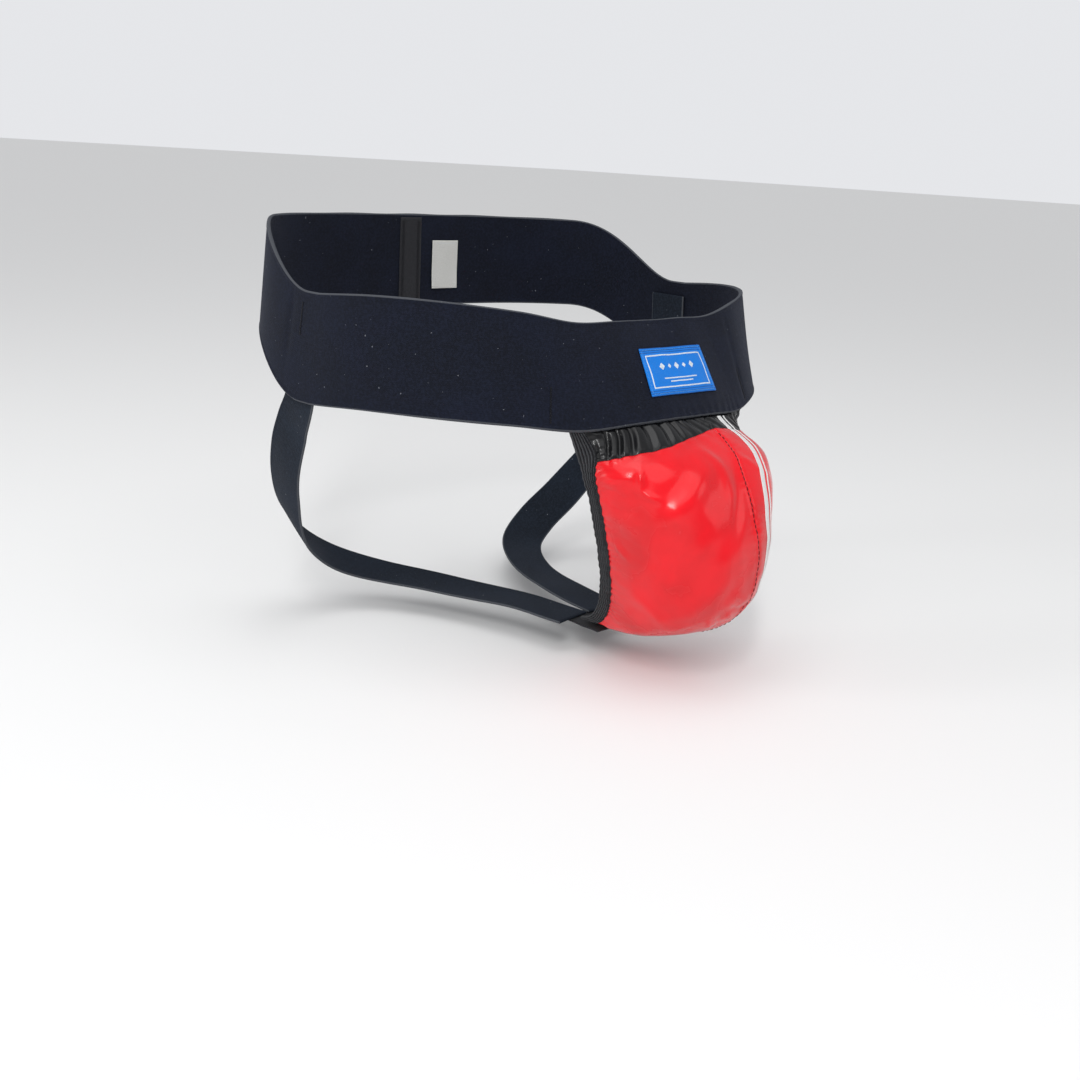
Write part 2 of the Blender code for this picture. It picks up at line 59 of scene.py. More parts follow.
CLEARANCE = 0.35 * MM
BAND_WIDTH = 65 * MM
BAND_THICKNESS = 2.0 * MM
HALF_WIDTH = 171 * MM
FRONT_DEPTH = 126 * MM
BACK_DEPTH = 128 * MM
FRONT_POWER = 2.3
BACK_POWER = 2.9
BACK_RISE = 39 * MM
RISE_FROM_Y = 11 * MM
RISE_TO_Y = 97 * MM
FRONT_LINE = ((-3.0,), (-3.5,), (-4.5,), (0.5,), (3.5,), (3.5,), (0.0,))
FRONT_FLARE = 34 * MM
SIDE_FLARE = 6 * MM
LOWER_EDGE = -0.5
LABEL_ANGLES = (-0.14, 0.341)
LABEL_HEIGHTS = (-0.27, 0.205)
CARE_LABEL_ANGLES = (math.pi - 0.34, math.pi - 0.16)
CARE_LABEL_HEIGHTS = (-0.32, 0.22)
JOIN_TAPE_HALF_ANGLE = 0.075
JOIN_TAPE_HEIGHTS = (-0.47, 0.47)
BARTACK_ANGLE = 0.64
BARTACK_HEIGHTS = (-0.45, -0.12)
STRAP_BARTACK_HEIGHTS = (0.10, 0.40)
STRAP_WIDTH = 30 * MM
STRAP_THICKNESS = 1.5 * MM
STRAP_ANGLE = math.radians(95)
STRAP_HEIGHTS = (0.34, -0.08, LOWER_EDGE)
STRAP_INSET = BAND_THICKNESS + 0.9 * MM
STRAP_ROUTE = (
    ((168, 27, -52), (1.00, -0.05, -0.05)),
    ((164, 40, -73), (1.00, -0.05, -0.15)),
    ((155, 54, -97), (0.95, 0.05, -0.30)),
    ((142, 67, -121), (0.85, 0.20, -0.45)),
    ((124, 75, -144), (0.65, 0.45, -0.60)),
    ((98, 76, -162), (0.40, 0.50, -0.77)),
    ((68, 60, -173), (0.15, 0.40, -0.90)),
    ((42, 22, -177), (0.00, 0.20, -0.98)),
    ((23, -33, -177), (0.00, 0.05, -1.00)),
    ((16, -80, -177), (0.00, 0.00, -1.00)),
)
CORNER_ANGLE = 0.565
LEFT_REACH = 0.045
HEM_HEIGHT = 8 * MM
FRONT_PROFILE = (
    (-139.0, -35.5),
    (-158, -44),
    (-180, -57),
    (-195, -81),
    (-201, -110),
    (-198, -137),
    (-181, -157),
    (-148, -169.5),
    (-92, -176),
)
LEG_EDGE = (
    (81, -127.5, -34),
    (71, -126.5, -54),
    (61, -125, -75),
    (52, -123, -96),
    (43, -120, -117),
    (35, -116, -137),
    (27, -109, -154),
    (21, -99, -167),
    (17, -88, -173),
)
ROW_POWER = 2.4
SIDE_BULGE = 12 * MM
LEFT_LEAN = 4 * MM
LEFT_FULLNESS = 7 * MM
FULL_ROWS = 0.4
BAND_BLEND = 0.22
FABRIC = 0.8 * MM
POUCH_TALL = 200 * MM
YOKE_LINE = ((0.133,), (0.137,), (0.136,), (0.130,), (0.100,), (0.075,), (0.097,), (0.096,), (0.096,))
SEAM_LINE = ((0.30,), (0.17,), (0.08,), (0.07,), (0.12,), (0.12,), (0.09,), (0.07,), (0.06,))
STRIPE_LINE = ((0.53,), (0.35,), (0.23,), (0.20,), (0.24,), (0.25,), (0.24,), (0.22,), (0.20,))
LEG_ELASTIC_WIDTH = 11 * MM
EDGE_ROW = 0.985
STRIPE_WIDE = (0.0, 5.0 * MM)
STRIPE_NARROW = (6.8 * MM, 1.6 * MM)
STRIPE_ROWS = (0.015, 0.93)
SEAM_TAPE_WIDTH = 8 * MM
SEAM_TAPE_ROWS = (-0.97, -0.08)
LINING_ROWS = (-0.985, -0.03)
SEAM_TAPE_DEPTH = (1.2 * MM, 1.7 * MM)
LINING_DEPTH = (2.1 * MM, 2.8 * MM)
GATHER_DEPTH = (1.2 * MM, 2.2 * MM)
GATHER_ROWS = (0.05, 0.95)
GATHER_SPREAD = 0.83
CUP_MIDDLE = 0.475
CUP_HALF_HEIGHT = 0.285
CUP_HALF_SPREAD = 0.60
SHELL_DEPTH = (3.6 * MM, 6.1 * MM)
LINER_DEPTH = (6.6 * MM, 9.4 * MM)
RIM_DEPTH = (3.8 * MM, 9.2 * MM)
LINER_SHARE = 0.92
RIM_SHARES = (1.012, 1.13)
VENT_RADIUS = 3.4 * MM
VENTS = ((0.0, -0.38), (0.0, 0.0), (0.0, 0.38), (0.42, -0.2), (0.42, 0.2), (-0.42, -0.2), (-0.42, 0.2))
CROTCH_PATCH = ((-18 * MM, 18 * MM), (-105 * MM, -71 * MM), (-178.9 * MM, -177.5 * MM))
STEP = 1e-3  # the small move in a surface's own coordinates that its slopes are read over

# ---------------------------------------------------------------- sizes of the finer meshes

BAND_ROUND = 0.15  # about how many metres of band there are to one radian
BAND_COLUMNS = 560
EDGE_STEPS = np.array((0.0, 0.25, 0.6, 1.0, 1.5, 2.1, 2.9, 4.0, 6.0)) * MM / BAND_WIDTH
SELVEDGE = 1.7 * MM
LABEL_OFF = 0.45 * MM
LABEL_RISE = 0.65 * MM
LABEL_ROUND = 0.128  # the same as BAND_ROUND, but at the front, where the band curves less
LABEL_WIDE = (LABEL_ANGLES[1] - LABEL_ANGLES[0]) * LABEL_ROUND
LABEL_TALL = (LABEL_HEIGHTS[1] - LABEL_HEIGHTS[0]) * BAND_WIDTH
LABEL_INSET = 1.2 * MM
FRAME_SIDE = 0.06
FRAME_LOW = 0.15
FRAME_HIGH = 0.85
FRAME_LINE = 0.012
FIGURE_RISE = 0.10 * MM
STRAP_CHART = 0.34  # metres of weave along a strap
STRAP_EDGES = (0.5, 0.49, 0.475, 0.455, 0.43, 0.40, 0.32, 0.2, 0.07)
HEM = "hem"
SEAM_GAP = 0.08 * MM
PATCH_PASSES = 8
PANEL_ROWS = 190
YOKE_ROWS = 56
HEM_ROWS = 9
RIB_PITCH = LEG_ELASTIC_WIDTH / 6
GATHER_PITCH = 10.5 * MM
PUCKER_PITCH = 6.5 * MM
FOLD_SAMPLES = 40
THREAD_SIDES = 6
THREAD_RADIUS = 0.17 * MM
PATCH_INSET = 2.5 * MM

# ---------------------------------------------------------------- floor, light and camera places

FLOOR_Z = -0.197
FLOOR_HALF = 40.0
SKY_STRENGTH = 0.44
BACKDROP_STRENGTH = 0.82
LIT_POINT = (0.0, -0.08, -0.06)
CAMERA_PLACE = (-0.6170, -0.6472, 0.1153)
CAMERA_AZIMUTH = -0.78386
CAMERA_ELEVATION = 0.28190
CAMERA_ROLL = 0.06218
CAMERA_LENS = 43.61

# ---------------------------------------------------------------- the CAD's own surfaces


def run_of(points):
    """How far along a line each of its points lies, in metres."""
    return np.concatenate(([0.0], np.cumsum(np.linalg.norm(np.diff(points, axis=0), axis=1))))


def vectors(x, y, z):
    return np.stack(np.broadcast_arrays(x, y, z), axis=-1)


def unit(v):
    return v / np.linalg.norm(v, axis=-1, keepdims=True)


def smooth_curve(points, place):
    """The Catmull-Rom curve through the points, at places from 0, the first, to 1, the last."""
    listed = np.array(points, float)
    listed = np.vstack((2 * listed[0] - listed[1], listed, 2 * listed[-1] - listed[-2]))
    along = np.clip(place, 0, 1) * (len(listed) - 3)
    first = np.minimum(np.floor(along).astype(int), len(listed) - 4)
    t = (along - first)[..., None]
    a, b, c, d = (listed[first + i] for i in range(4))
    return 0.5 * (2 * b + (c - a) * t + (2 * a - 5 * b + 4 * c - d) * t**2 + (3 * b - a - 3 * c + d) * t**3)


def normals(surface, u, v):
    along_u = surface(u + STEP, v) - surface(u - STEP, v)
    along_v = surface(u, v + STEP) - surface(u, v - STEP)
    return unit(np.cross(along_u, along_v))


def band_surface(angle, height):
    """The band's outer face: height runs from -0.5 at the lower edge to 0.5 at the upper."""
    side = np.sin(angle)
    back = -np.cos(angle)
    depth = np.where(back < 0, FRONT_DEPTH, BACK_DEPTH)
    power = np.where(back < 0, FRONT_POWER, BACK_POWER)
    reach = (np.abs(side / HALF_WIDTH) ** power + np.abs(back / depth) ** power) ** (-1 / power)
    x = reach * side
    y = reach * back
    climb = np.clip((y - RISE_FROM_Y) / (RISE_TO_Y - RISE_FROM_Y), 0, 1)
    quarter = np.abs(np.mod(angle + math.pi, 2 * math.pi) - math.pi) / (math.pi / 2)
    line = smooth_curve(FRONT_LINE, quarter)[..., 0] * MM
    z = BACK_RISE * climb**2 * (3 - 2 * climb) + line
    flare = FRONT_FLARE * np.clip(-back, 0, 1) ** 2 + SIDE_FLARE * side**2
    tall = np.sqrt(BAND_WIDTH**2 - flare**2)
    return vectors(x - side * flare * height, y - back * flare * height, z + tall * height)


def band_inner(angle, height, depth):
    return band_surface(angle, height) - depth * normals(band_surface, angle, height)


def pouch_surface(s, up):
    """The pouch's outer face: s from -1 at the wearer's right leg edge to 1 at the left, and up from 0 at
    the band's lower edge to -1 at the crotch, or up to 1 at the top of the hem inside the band."""
    v = np.clip(-up, 0, 1)
    edge = smooth_curve(LEG_EDGE, v) * MM
    front = smooth_curve(FRONT_PROFILE, v) * MM
    turn = s * math.pi / 2
    across = np.sign(s) * np.abs(np.sin(turn)) ** (2 / ROW_POWER)
    forward = np.abs(np.cos(turn)) ** (2 / ROW_POWER)
    bulge = (SIDE_BULGE * np.sin(2 * turn) + LEFT_LEAN * np.cos(turn)) * np.sin(math.pi * v)
    full = np.clip(np.sin(turn), 0, 1) * 2 * np.cos(turn)
    bulge = bulge + LEFT_FULLNESS * full * np.sin(math.pi * np.clip(v / FULL_ROWS, 0, 1))
    bag = vectors(
        edge[..., 0] * across + bulge,
        edge[..., 1] + (front[..., 0] - edge[..., 1]) * forward,
        edge[..., 2] + (front[..., 1] - edge[..., 2]) * forward,
    )
    hem = LOWER_EDGE + HEM_HEIGHT / BAND_WIDTH * np.clip(up, 0, 1)
    angle = s * (CORNER_ANGLE + LEFT_REACH * np.clip(s, 0, 1))
    seam = band_inner(angle, hem, BAND_THICKNESS + CLEARANCE)
    fade = np.clip(1 - v / BAND_BLEND, 0, 1)
    top_edge = np.array(LEG_EDGE[0]) * MM
    top_front = np.array(FRONT_PROFILE[0]) * MM
    top = vectors(
        top_edge[0] * across,
        top_edge[1] + (top_front[0] - top_edge[1]) * forward,
        top_edge[2] + (top_front[1] - top_edge[2]) * forward,
    )
    return bag + (fade**2 * (3 - 2 * fade))[..., None] * (seam - top)


def row_scale(s, up):
    """Metres across the pouch for one unit of s."""
    gap = pouch_surface(s + STEP, up) - pouch_surface(s - STEP, up)
    return np.linalg.norm(gap, axis=-1) / (2 * STEP)


def seam_line(up):
    return smooth_curve(SEAM_LINE, -up)[..., 0]


def yoke_line(s):
    return -smooth_curve(YOKE_LINE, (s + 1) / 2)[..., 0]


def strap_surface(a, b):
    """The outer face of the wearer's left strap: a across it from -0.5 to 0.5, b along it from 0 to 1."""
    under_band = [band_inner(STRAP_ANGLE, np.float64(h), STRAP_INSET) / MM for h in STRAP_HEIGHTS]
    points = under_band + [np.array(point, float) for point, _ in STRAP_ROUTE]
    facing = [normals(band_surface, STRAP_ANGLE, np.float64(h)) for h in STRAP_HEIGHTS]
    facing += [np.array(way, float) for _, way in STRAP_ROUTE]
    centre = smooth_curve(points, b) * MM
    b = np.clip(b, 0, 1)
    ahead = smooth_curve(points, b + STEP) - smooth_curve(points, b - STEP)
    width = unit(np.cross(ahead, smooth_curve(facing, b)))
    return centre + (np.asarray(a) * STRAP_WIDTH)[..., None] * width


def cup_place(share, x, y):
    round_x = x * np.sqrt(1 - y**2 / 2)
    round_y = y * np.sqrt(1 - x**2 / 2)
    return CUP_HALF_SPREAD * share * round_x, -CUP_MIDDLE + CUP_HALF_HEIGHT * share * round_y


# ---------------------------------------------------------------- tables that the finer meshes need

LINE_HEIGHTS = np.concatenate((np.linspace(-1, 0, 161), (0.5, 1.0)))


def leg_line_table():
    """The s at which the leg elastic begins at each of LINE_HEIGHTS, its width in from the leg edge."""
    samples = np.linspace(EDGE_ROW, 0.2, 80)
    starts = []
    for height in LINE_HEIGHTS:
        line = pouch_surface(samples, np.full_like(samples, height))
        run = run_of(line)
        starts.append(np.interp(min(LEG_ELASTIC_WIDTH, 0.8 * run[-1]), run, samples))
    return np.array(starts)


LEG_STARTS = leg_line_table()
ARC_S = np.linspace(-1, 1, 801)


def run_along(height):
    """How far round the pouch each of ARC_S lies at one height, in metres."""
    return run_of(pouch_surface(ARC_S, np.full_like(ARC_S, height)))


ARC_RUN = run_along(-0.4)
YOKE_RUN = run_along(-0.06)


def leg_line(up):
    return np.interp(up, LINE_HEIGHTS, LEG_STARTS)


def arc_of(s):
    """How far round a middle row the line s lies, in metres from the wearer's right leg edge."""
    return np.interp(s, ARC_S, ARC_RUN)


def s_at(arc):
    return np.interp(arc, ARC_RUN, ARC_S)


def smoothstep(low, high, value):
    t = np.clip((value - low) / (high - low), 0, 1)
    return t * t * (3 - 2 * t)


def ripple(x, y, seed, size, count=10):
    """A smooth random field of unit spread, with bumps about size across."""
    rng = np.random.default_rng(seed)
    total = 0.0
    for _ in range(count):
        turn, phase = rng.uniform(0, 2 * math.pi, 2)
        rate = 2 * math.pi / (size * rng.uniform(0.75, 1.7))
        total = total + np.sin(rate * (x * math.cos(turn) + y * math.sin(turn)) + phase)
    return total / math.sqrt(count / 2)


# ---------------------------------------------------------------- relief of the band and of the pouch


def band_skin(angle, height):
    """The band's outer face with its soft waves, corded edges and the pull of what is sewn to it."""
    x = angle * BAND_ROUND
    y = height * BAND_WIDTH
    from_edge = (0.5 - np.abs(height)) * BAND_WIDTH
    turned = np.abs(np.mod(angle + math.pi, 2 * math.pi) - math.pi)
    lift = 0.28 * MM * ripple_round(angle, y, 11)
    lift = lift + 0.22 * MM * np.exp(-((from_edge - 0.5 * SELVEDGE) / (0.55 * SELVEDGE)) ** 2)
    lift = lift - 0.10 * MM * np.exp(-((from_edge - 1.7 * SELVEDGE) / (0.5 * SELVEDGE)) ** 2)
    gathered = smoothstep(0.62, 0.52, turned) * np.exp(-(height - LOWER_EDGE) * BAND_WIDTH / (7 * MM))
    lift = lift + 0.30 * MM * gathered * np.sin(2 * math.pi * x / (9 * MM) + 1.2 * ripple(x, y, 5, 0.03))
    for tack in (-BARTACK_ANGLE, BARTACK_ANGLE):
        near = np.exp(-(((angle - tack) * BAND_ROUND) / (2.2 * MM)) ** 2)
        span = smoothstep(-0.50, -0.42, height) * smoothstep(-0.06, -0.14, height)
        lift = lift - 0.55 * MM * near * span
    for place, tilt, deep in ((0.50, -0.05, 0.12), (0.64, 0.03, 0.35), (-1.73, 0.02, 0.6)):
        crease = np.exp(-(((angle - place - tilt * height) * BAND_ROUND) / (2.6 * MM)) ** 2)
        lift = lift - deep * MM * crease * smoothstep(-0.5, 0.1, height) * smoothstep(0.52, 0.3, height)
    return band_surface(angle, height) + lift[..., None] * normals(band_surface, angle, height)


def ripple_round(angle, y, seed):
    """A random field round the band that closes on itself."""
    rng = np.random.default_rng(seed)
    total = 0.0
    for _ in range(12):
        turns = rng.integers(2, 17)
        total = total + np.sin(turns * angle + rng.uniform(-60, 60) * y + rng.uniform(0, 2 * math.pi))
    return total / math.sqrt(6)


# Folds in the pouch: a path of (s, up), its half width and height in mm. Negative heights are valleys.
FOLDS = (
    (((-0.48, -0.195), (-0.535, -0.233), (-0.57, -0.268)), 2.6, 1.9),
    (((-0.575, -0.262), (-0.535, -0.285), (-0.46, -0.31)), 2.4, 1.6),
    (((-0.04, -0.205), (-0.17, -0.265), (-0.30, -0.320), (-0.45, -0.365)), 7.5, 3.0),
    (((-0.46, -0.300), (-0.30, -0.260), (-0.13, -0.205)), 4.5, -0.5),
    (((-0.86, -0.245), (-0.78, -0.285), (-0.62, -0.32)), 4.0, -1.5),
    (((-0.87, -0.215), (-0.72, -0.225), (-0.58, -0.215)), 4.2, 1.2),
    (((-0.86, -0.33), (-0.76, -0.36), (-0.60, -0.375), (-0.40, -0.36)), 6.0, 1.4),
    (((-0.85, -0.41), (-0.74, -0.45), (-0.55, -0.50)), 5.0, -1.0),
    (((-0.86, -0.44), (-0.78, -0.49)), 2.4, 0.9),
    (((-0.05, -0.15), (-0.02, -0.24), (-0.06, -0.36)), 5.0, 1.3),
    (((0.06, -0.20), (0.0, -0.32), (-0.08, -0.46)), 4.0, -0.9),
    (((-0.02, -0.42), (-0.20, -0.56), (-0.42, -0.66)), 8.0, 1.4),
    (((-0.07, -0.575), (0.03, -0.605), (0.12, -0.62)), 2.6, 1.2),
    (((-0.05, -0.63), (0.05, -0.645), (0.12, -0.65)), 2.2, -1.1),
    (((-0.08, -0.735), (-0.19, -0.675)), 2.0, 0.8),
    (((0.02, -0.735), (-0.12, -0.665)), 2.0, -0.8),
    (((0.07, -0.71), (-0.05, -0.655)), 2.0, 0.9),
    (((0.10, -0.20), (0.22, -0.27), (0.36, -0.30)), 3.5, 1.0),
    (((0.12, -0.42), (0.26, -0.46), (0.42, -0.44)), 4.0, 1.2),
    (((0.13, -0.56), (0.28, -0.58), (0.40, -0.53)), 3.2, -0.9),
    (((0.85, -0.28), (0.66, -0.36), (0.45, -0.38)), 5.0, 1.3),
    (((0.84, -0.42), (0.66, -0.50), (0.48, -0.56)), 5.0, -1.0),
    (((0.30, -0.66), (0.42, -0.72), (0.60, -0.74)), 4.5, 1.0),
    (((-0.84, -0.60), (-0.62, -0.66), (-0.40, -0.76)), 6.0, 1.1),
)


def fold_height(points, folds):
    """How far the folds lift each point: a soft bump for each step along each fold's path, added up."""
    flat = points.reshape(-1, 3)
    total = np.zeros(len(flat))
    place = np.linspace(0, 1, FOLD_SAMPLES)
    taper = np.sin(math.pi * np.clip(place, 0.04, 0.96)) ** 0.7
    for path, width, height in folds:
        line = smooth_curve(path, place)
        route = pouch_surface(line[:, 0], line[:, 1])
        step = np.linalg.norm(np.gradient(route, axis=0), axis=1)
        near = ((flat[:, None, :] - route[None, :, :]) ** 2).sum(axis=2) / (width * MM) ** 2
        share = taper * step / (width * MM * math.sqrt(math.pi))
        total += height * MM * (np.exp(-near) @ share)
    return total.reshape(points.shape[:-1])


def pouch_relief(s, up, points):
    """How far the pouch's fabric stands off the CAD surface, in metres."""
    arc = arc_of(s)
    down = up * POUCH_TALL
    scale = row_scale(s, up)
    yoke = yoke_line(s)
    below_band = smoothstep(0.0, -0.022, up)
    # The yoke's gathers: soft pleats of uneven width that lean a little and fade into the red.
    waver = 0.26 * ripple(arc, 0.25 * down, 3, 0.050)
    phase = 2 * math.pi * (np.interp(s, ARC_S, YOKE_RUN) / GATHER_PITCH + waver + 9.0 * down)
    pleat = 0.5 + 0.5 * np.sin(phase) + 0.14 * np.sin(2 * phase + 1.1)
    in_yoke = smoothstep(yoke - 0.035, yoke + 0.03, up)
    uneven = np.clip(0.80 + 0.25 * ripple(arc, down, 8, 0.05), 0.35, 1.3)
    stripe_gap = (s - smooth_curve(STRIPE_LINE, -up)[..., 0]) * scale - 3 * MM
    held_flat = 1 - 0.85 * np.exp(-((stripe_gap / (9 * MM)) ** 2)) - 0.35 * smoothstep(0.15, 0.3, s)
    lift = 1.75 * MM * pleat * uneven * in_yoke * below_band * np.clip(held_flat, 0.1, 1)
    # The red panels: pressed out by the wearer, with broad soft folds.
    red = smoothstep(yoke, yoke - 0.06, up)
    edge_gap = (leg_line(up) - np.abs(s)) * scale
    off_edge = smoothstep(0, 9 * MM, edge_gap)
    lift = lift + red * off_edge * (0.42 * MM * ripple(arc, down, 21, 0.085) + 0.4 * MM)
    lift = lift + red * off_edge * 0.09 * MM * ripple(arc, down, 22, 0.016)
    beside_stripes = 1 - 0.7 * np.exp(-((stripe_gap / (12 * MM)) ** 2))
    folded = smoothstep(yoke + 0.02, yoke - 0.02, up) * off_edge * beside_stripes
    lift = lift + folded * fold_height(points, FOLDS)
    # Puckers along the leg elastics, the yoke's seam and the panel seam.
    pull = np.exp(-np.abs(edge_gap) / (6 * MM)) * below_band
    waves = 2 * math.pi * down / PUCKER_PITCH + 2 * ripple(arc, down, 6, 0.03)
    lift = lift + 0.32 * MM * pull * np.sin(waves)
    drop = (up - yoke) * POUCH_TALL
    lift = lift - 0.45 * MM * np.exp(-((drop / (1.3 * MM)) ** 2))
    seam_gap = (s - seam_line(up)) * scale
    at_seam = np.exp(-np.abs(seam_gap) / (4 * MM)) * below_band
    lift = lift + 0.20 * MM * at_seam * np.sin(2 * math.pi * down / (4.6 * MM) + ripple(arc, down, 7, 0.02))
    lift = lift - 0.5 * MM * np.exp(-((seam_gap / (1.2 * MM)) ** 2))
    lift = lift + 0.35 * MM * np.exp(-(((seam_gap + 2.2 * MM) / (1.6 * MM)) ** 2)) * below_band
    return np.maximum(lift, -0.4 * MM) * smoothstep(0.1, -0.01, up)


def pouch_skin(s, up):
    """The pouch fabric's outer face and the way it looks, before the folds turn it."""
    points = pouch_surface(s, up)
    facing = normals(pouch_surface, s, up)
    lift = pouch_relief(s, up, points)
    return points + lift[..., None] * facing, facing


# ---------------------------------------------------------------- mesh building


def new_object(name, vertices, faces, uv, material):
    """A smooth mesh object. faces is a list of index tuples, and uv has one row for each vertex."""
    mesh = bpy.data.meshes.new(name)
    mesh.from_pydata(np.asarray(vertices, float).tolist(), [], faces)
    layer = mesh.uv_layers.new(name="UVMap")
    corners = np.empty(len(mesh.loops), np.int32)
    mesh.loops.foreach_get("vertex_index", corners)
    layer.data.foreach_set("uv", np.asarray(uv, np.float32)[corners].ravel())
    mesh.materials.append(material)
    mesh.shade_smooth()
    made = bpy.data.objects.new(name, mesh)
    bpy.context.scene.collection.objects.link(made)
    return made


def quads(index, ring):
    """The faces of a grid of vertex numbers, as an array of four columns."""
    if ring:
        index = np.concatenate((index, index[:, :1]), axis=1)
    return np.stack((index[:-1, :-1], index[:-1, 1:], index[1:, 1:], index[1:, :-1]), axis=-1).reshape(-1, 4)


def edge_loops(rows, columns, ring):
    """The borders of a grid, anticlockwise seen from outside.

    Each is a list of (row, column, row of the point inside it, column of the point inside it)."""
    if ring:
        low = [(0, j, 1, j) for j in range(columns)]
        high = [(rows - 1, j, rows - 2, j) for j in range(columns - 1, -1, -1)]
        return [low, high]
    border = [(0, j) for j in range(columns)]
    border += [(i, columns - 1) for i in range(1, rows)]
    border += [(rows - 1, j) for j in range(columns - 2, -1, -1)]
    border += [(i, 0) for i in range(rows - 2, 0, -1)]
    return [[(i, j, min(max(i, 1), rows - 2), min(max(j, 1), columns - 2)) for i, j in border]]


def thick(name, outer, inner, uv, material, ring=False, rounding=0.35):
    """A closed sheet between two grids of points, with its cut edges rounded."""
    rows, columns = outer.shape[:2]
    count = rows * columns
    index = np.arange(count).reshape(rows, columns)
    faces = [quads(index, ring), quads(index + count, ring)[:, ::-1]]
    vertices = [outer.reshape(-1, 3), inner.reshape(-1, 3)]
    uvs = [uv.reshape(-1, 2), uv.reshape(-1, 2)]
    start = 2 * count
    for loop in edge_loops(rows, columns, ring):
        i, j, inside_i, inside_j = np.array(loop).T
        middle = (outer[i, j] + inner[i, j]) / 2
        thickness = np.linalg.norm(outer[i, j] - inner[i, j], axis=1, keepdims=True)
        away = unit(outer[i, j] - outer[inside_i, inside_j] + 1e-12)
        vertices.append(middle + away * thickness * rounding)
        uvs.append(uv[i, j])
        numbers = np.arange(start, start + len(loop))
        after = np.roll(numbers, -1)
        first = index[i, j]
        next_first = np.roll(first, -1)
        faces.append(np.stack((next_first, first, numbers, after), axis=1))
        faces.append(np.stack((after, numbers, first + count, next_first + count), axis=1))
        start += len(loop)
    listed = [tuple(face) for face in np.concatenate(faces).tolist()]
    return new_object(name, np.concatenate(vertices), listed, np.concatenate(uvs), material)


def polyline(points, facing):
    """A function that gives the point and the way it faces at distances along a line, and its length."""
    run = run_of(points)

    def at(distance):
        place = np.stack([np.interp(distance, run, points[:, k]) for k in range(3)], axis=-1)
        look = np.stack([np.interp(distance, run, facing[:, k]) for k in range(3)], axis=-1)
        return place, unit(look)

    return at, run[-1]


def threads(name, paths, radius, material):
    """One mesh of many short closed tubes. Each path is its points and the way the fabric faces there."""
    vertices, faces, uvs = [], [], []
    start = 0
    turn = np.arange(THREAD_SIDES) * 2 * math.pi / THREAD_SIDES
    for points, facing in paths:
        ahead = unit(np.gradient(points, axis=0))
        side = unit(np.cross(ahead, facing))
        top = np.cross(side, ahead)
        count = len(points)
        ring = side[:, None, :] * np.cos(turn)[None, :, None] + top[:, None, :] * np.sin(turn)[None, :, None]
        tube = points[:, None, :] + radius * ring
        caps = np.stack((points[0] - ahead[0] * radius * 0.8, points[-1] + ahead[-1] * radius * 0.8))
        vertices += [tube.reshape(-1, 3), caps]
        run = run_of(points)
        around = np.broadcast_to(turn / (2 * math.pi), (count, THREAD_SIDES))
        along = np.broadcast_to(run[:, None], (count, THREAD_SIDES))
        uvs += [np.stack((along, around), axis=-1).reshape(-1, 2), np.array(((0.0, 0.0), (run[-1], 0.0)))]
        index = start + np.arange(count * THREAD_SIDES).reshape(count, THREAD_SIDES)
        faces += [tuple(face) for face in quads(index, True)[:, ::-1].tolist()]
        first, last = start + count * THREAD_SIDES, start + count * THREAD_SIDES + 1
        for k in range(THREAD_SIDES):
            n = (k + 1) % THREAD_SIDES
            faces.append((first, int(index[0, k]), int(index[0, n])))
            faces.append((last, int(index[-1, n]), int(index[-1, k])))
        start += count * THREAD_SIDES + 2
    return new_object(name, np.concatenate(vertices), faces, np.concatenate(uvs), material)


def running_stitch(points, facing, pitch, length, rise):
    """Paths of evenly spaced stitches along a line; each dips into the fabric at both ends."""
    at, total = polyline(points, facing)
    count = int(total / pitch)
    margin = (total - count * pitch) / 2
    place = np.linspace(0, 1, 7)
    paths = []
    for k in range(count):
        spots, look = at(margin + k * pitch + (pitch - length) / 2 + place * length)
        height = rise * (np.sin(math.pi * place) - 0.45)
        paths.append((spots + height[:, None] * look, look))
    return paths


def zigzag(points, facing, width, pitch, rise):
    """One path that zigzags across a line."""
    at, total = polyline(points, facing)
    count = max(4, int(total / pitch))
    distance = np.linspace(0, total, 4 * count + 1)
    spots, look = at(distance)
    ahead = unit(np.gradient(spots, axis=0))
    side = np.cross(ahead, look)
    swing = np.abs(np.mod(np.arange(4 * count + 1) / 2, 2) - 1) * 2 - 1
    spots = spots + side * (swing * width / 2)[:, None] + rise * look
    return [(spots, look)]


def rectangle(x0, x1, y0, y1):
    return [(x0, y0), (x1, y0), (x1, y1), (x0, y1)]


def sides(corners):
    """The two ends of each side of a closed outline."""
    return list(zip(corners, corners[1:] + corners[:1]))


def settle(piece, body, slot, *nodes):
    """Puts a piece on its body and names the CAD nodes it stands for. The argument slot is not used.

    A piece on the hem is left without a parent, with its transform baked into its mesh."""
    if body is HEM:
        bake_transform(piece)
    elif body is not None:
        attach(piece, body)
    if nodes:
        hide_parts(*nodes)
        piece.name = nodes[0] + "_detailed"
    return piece


# ---------------------------------------------------------------- materials


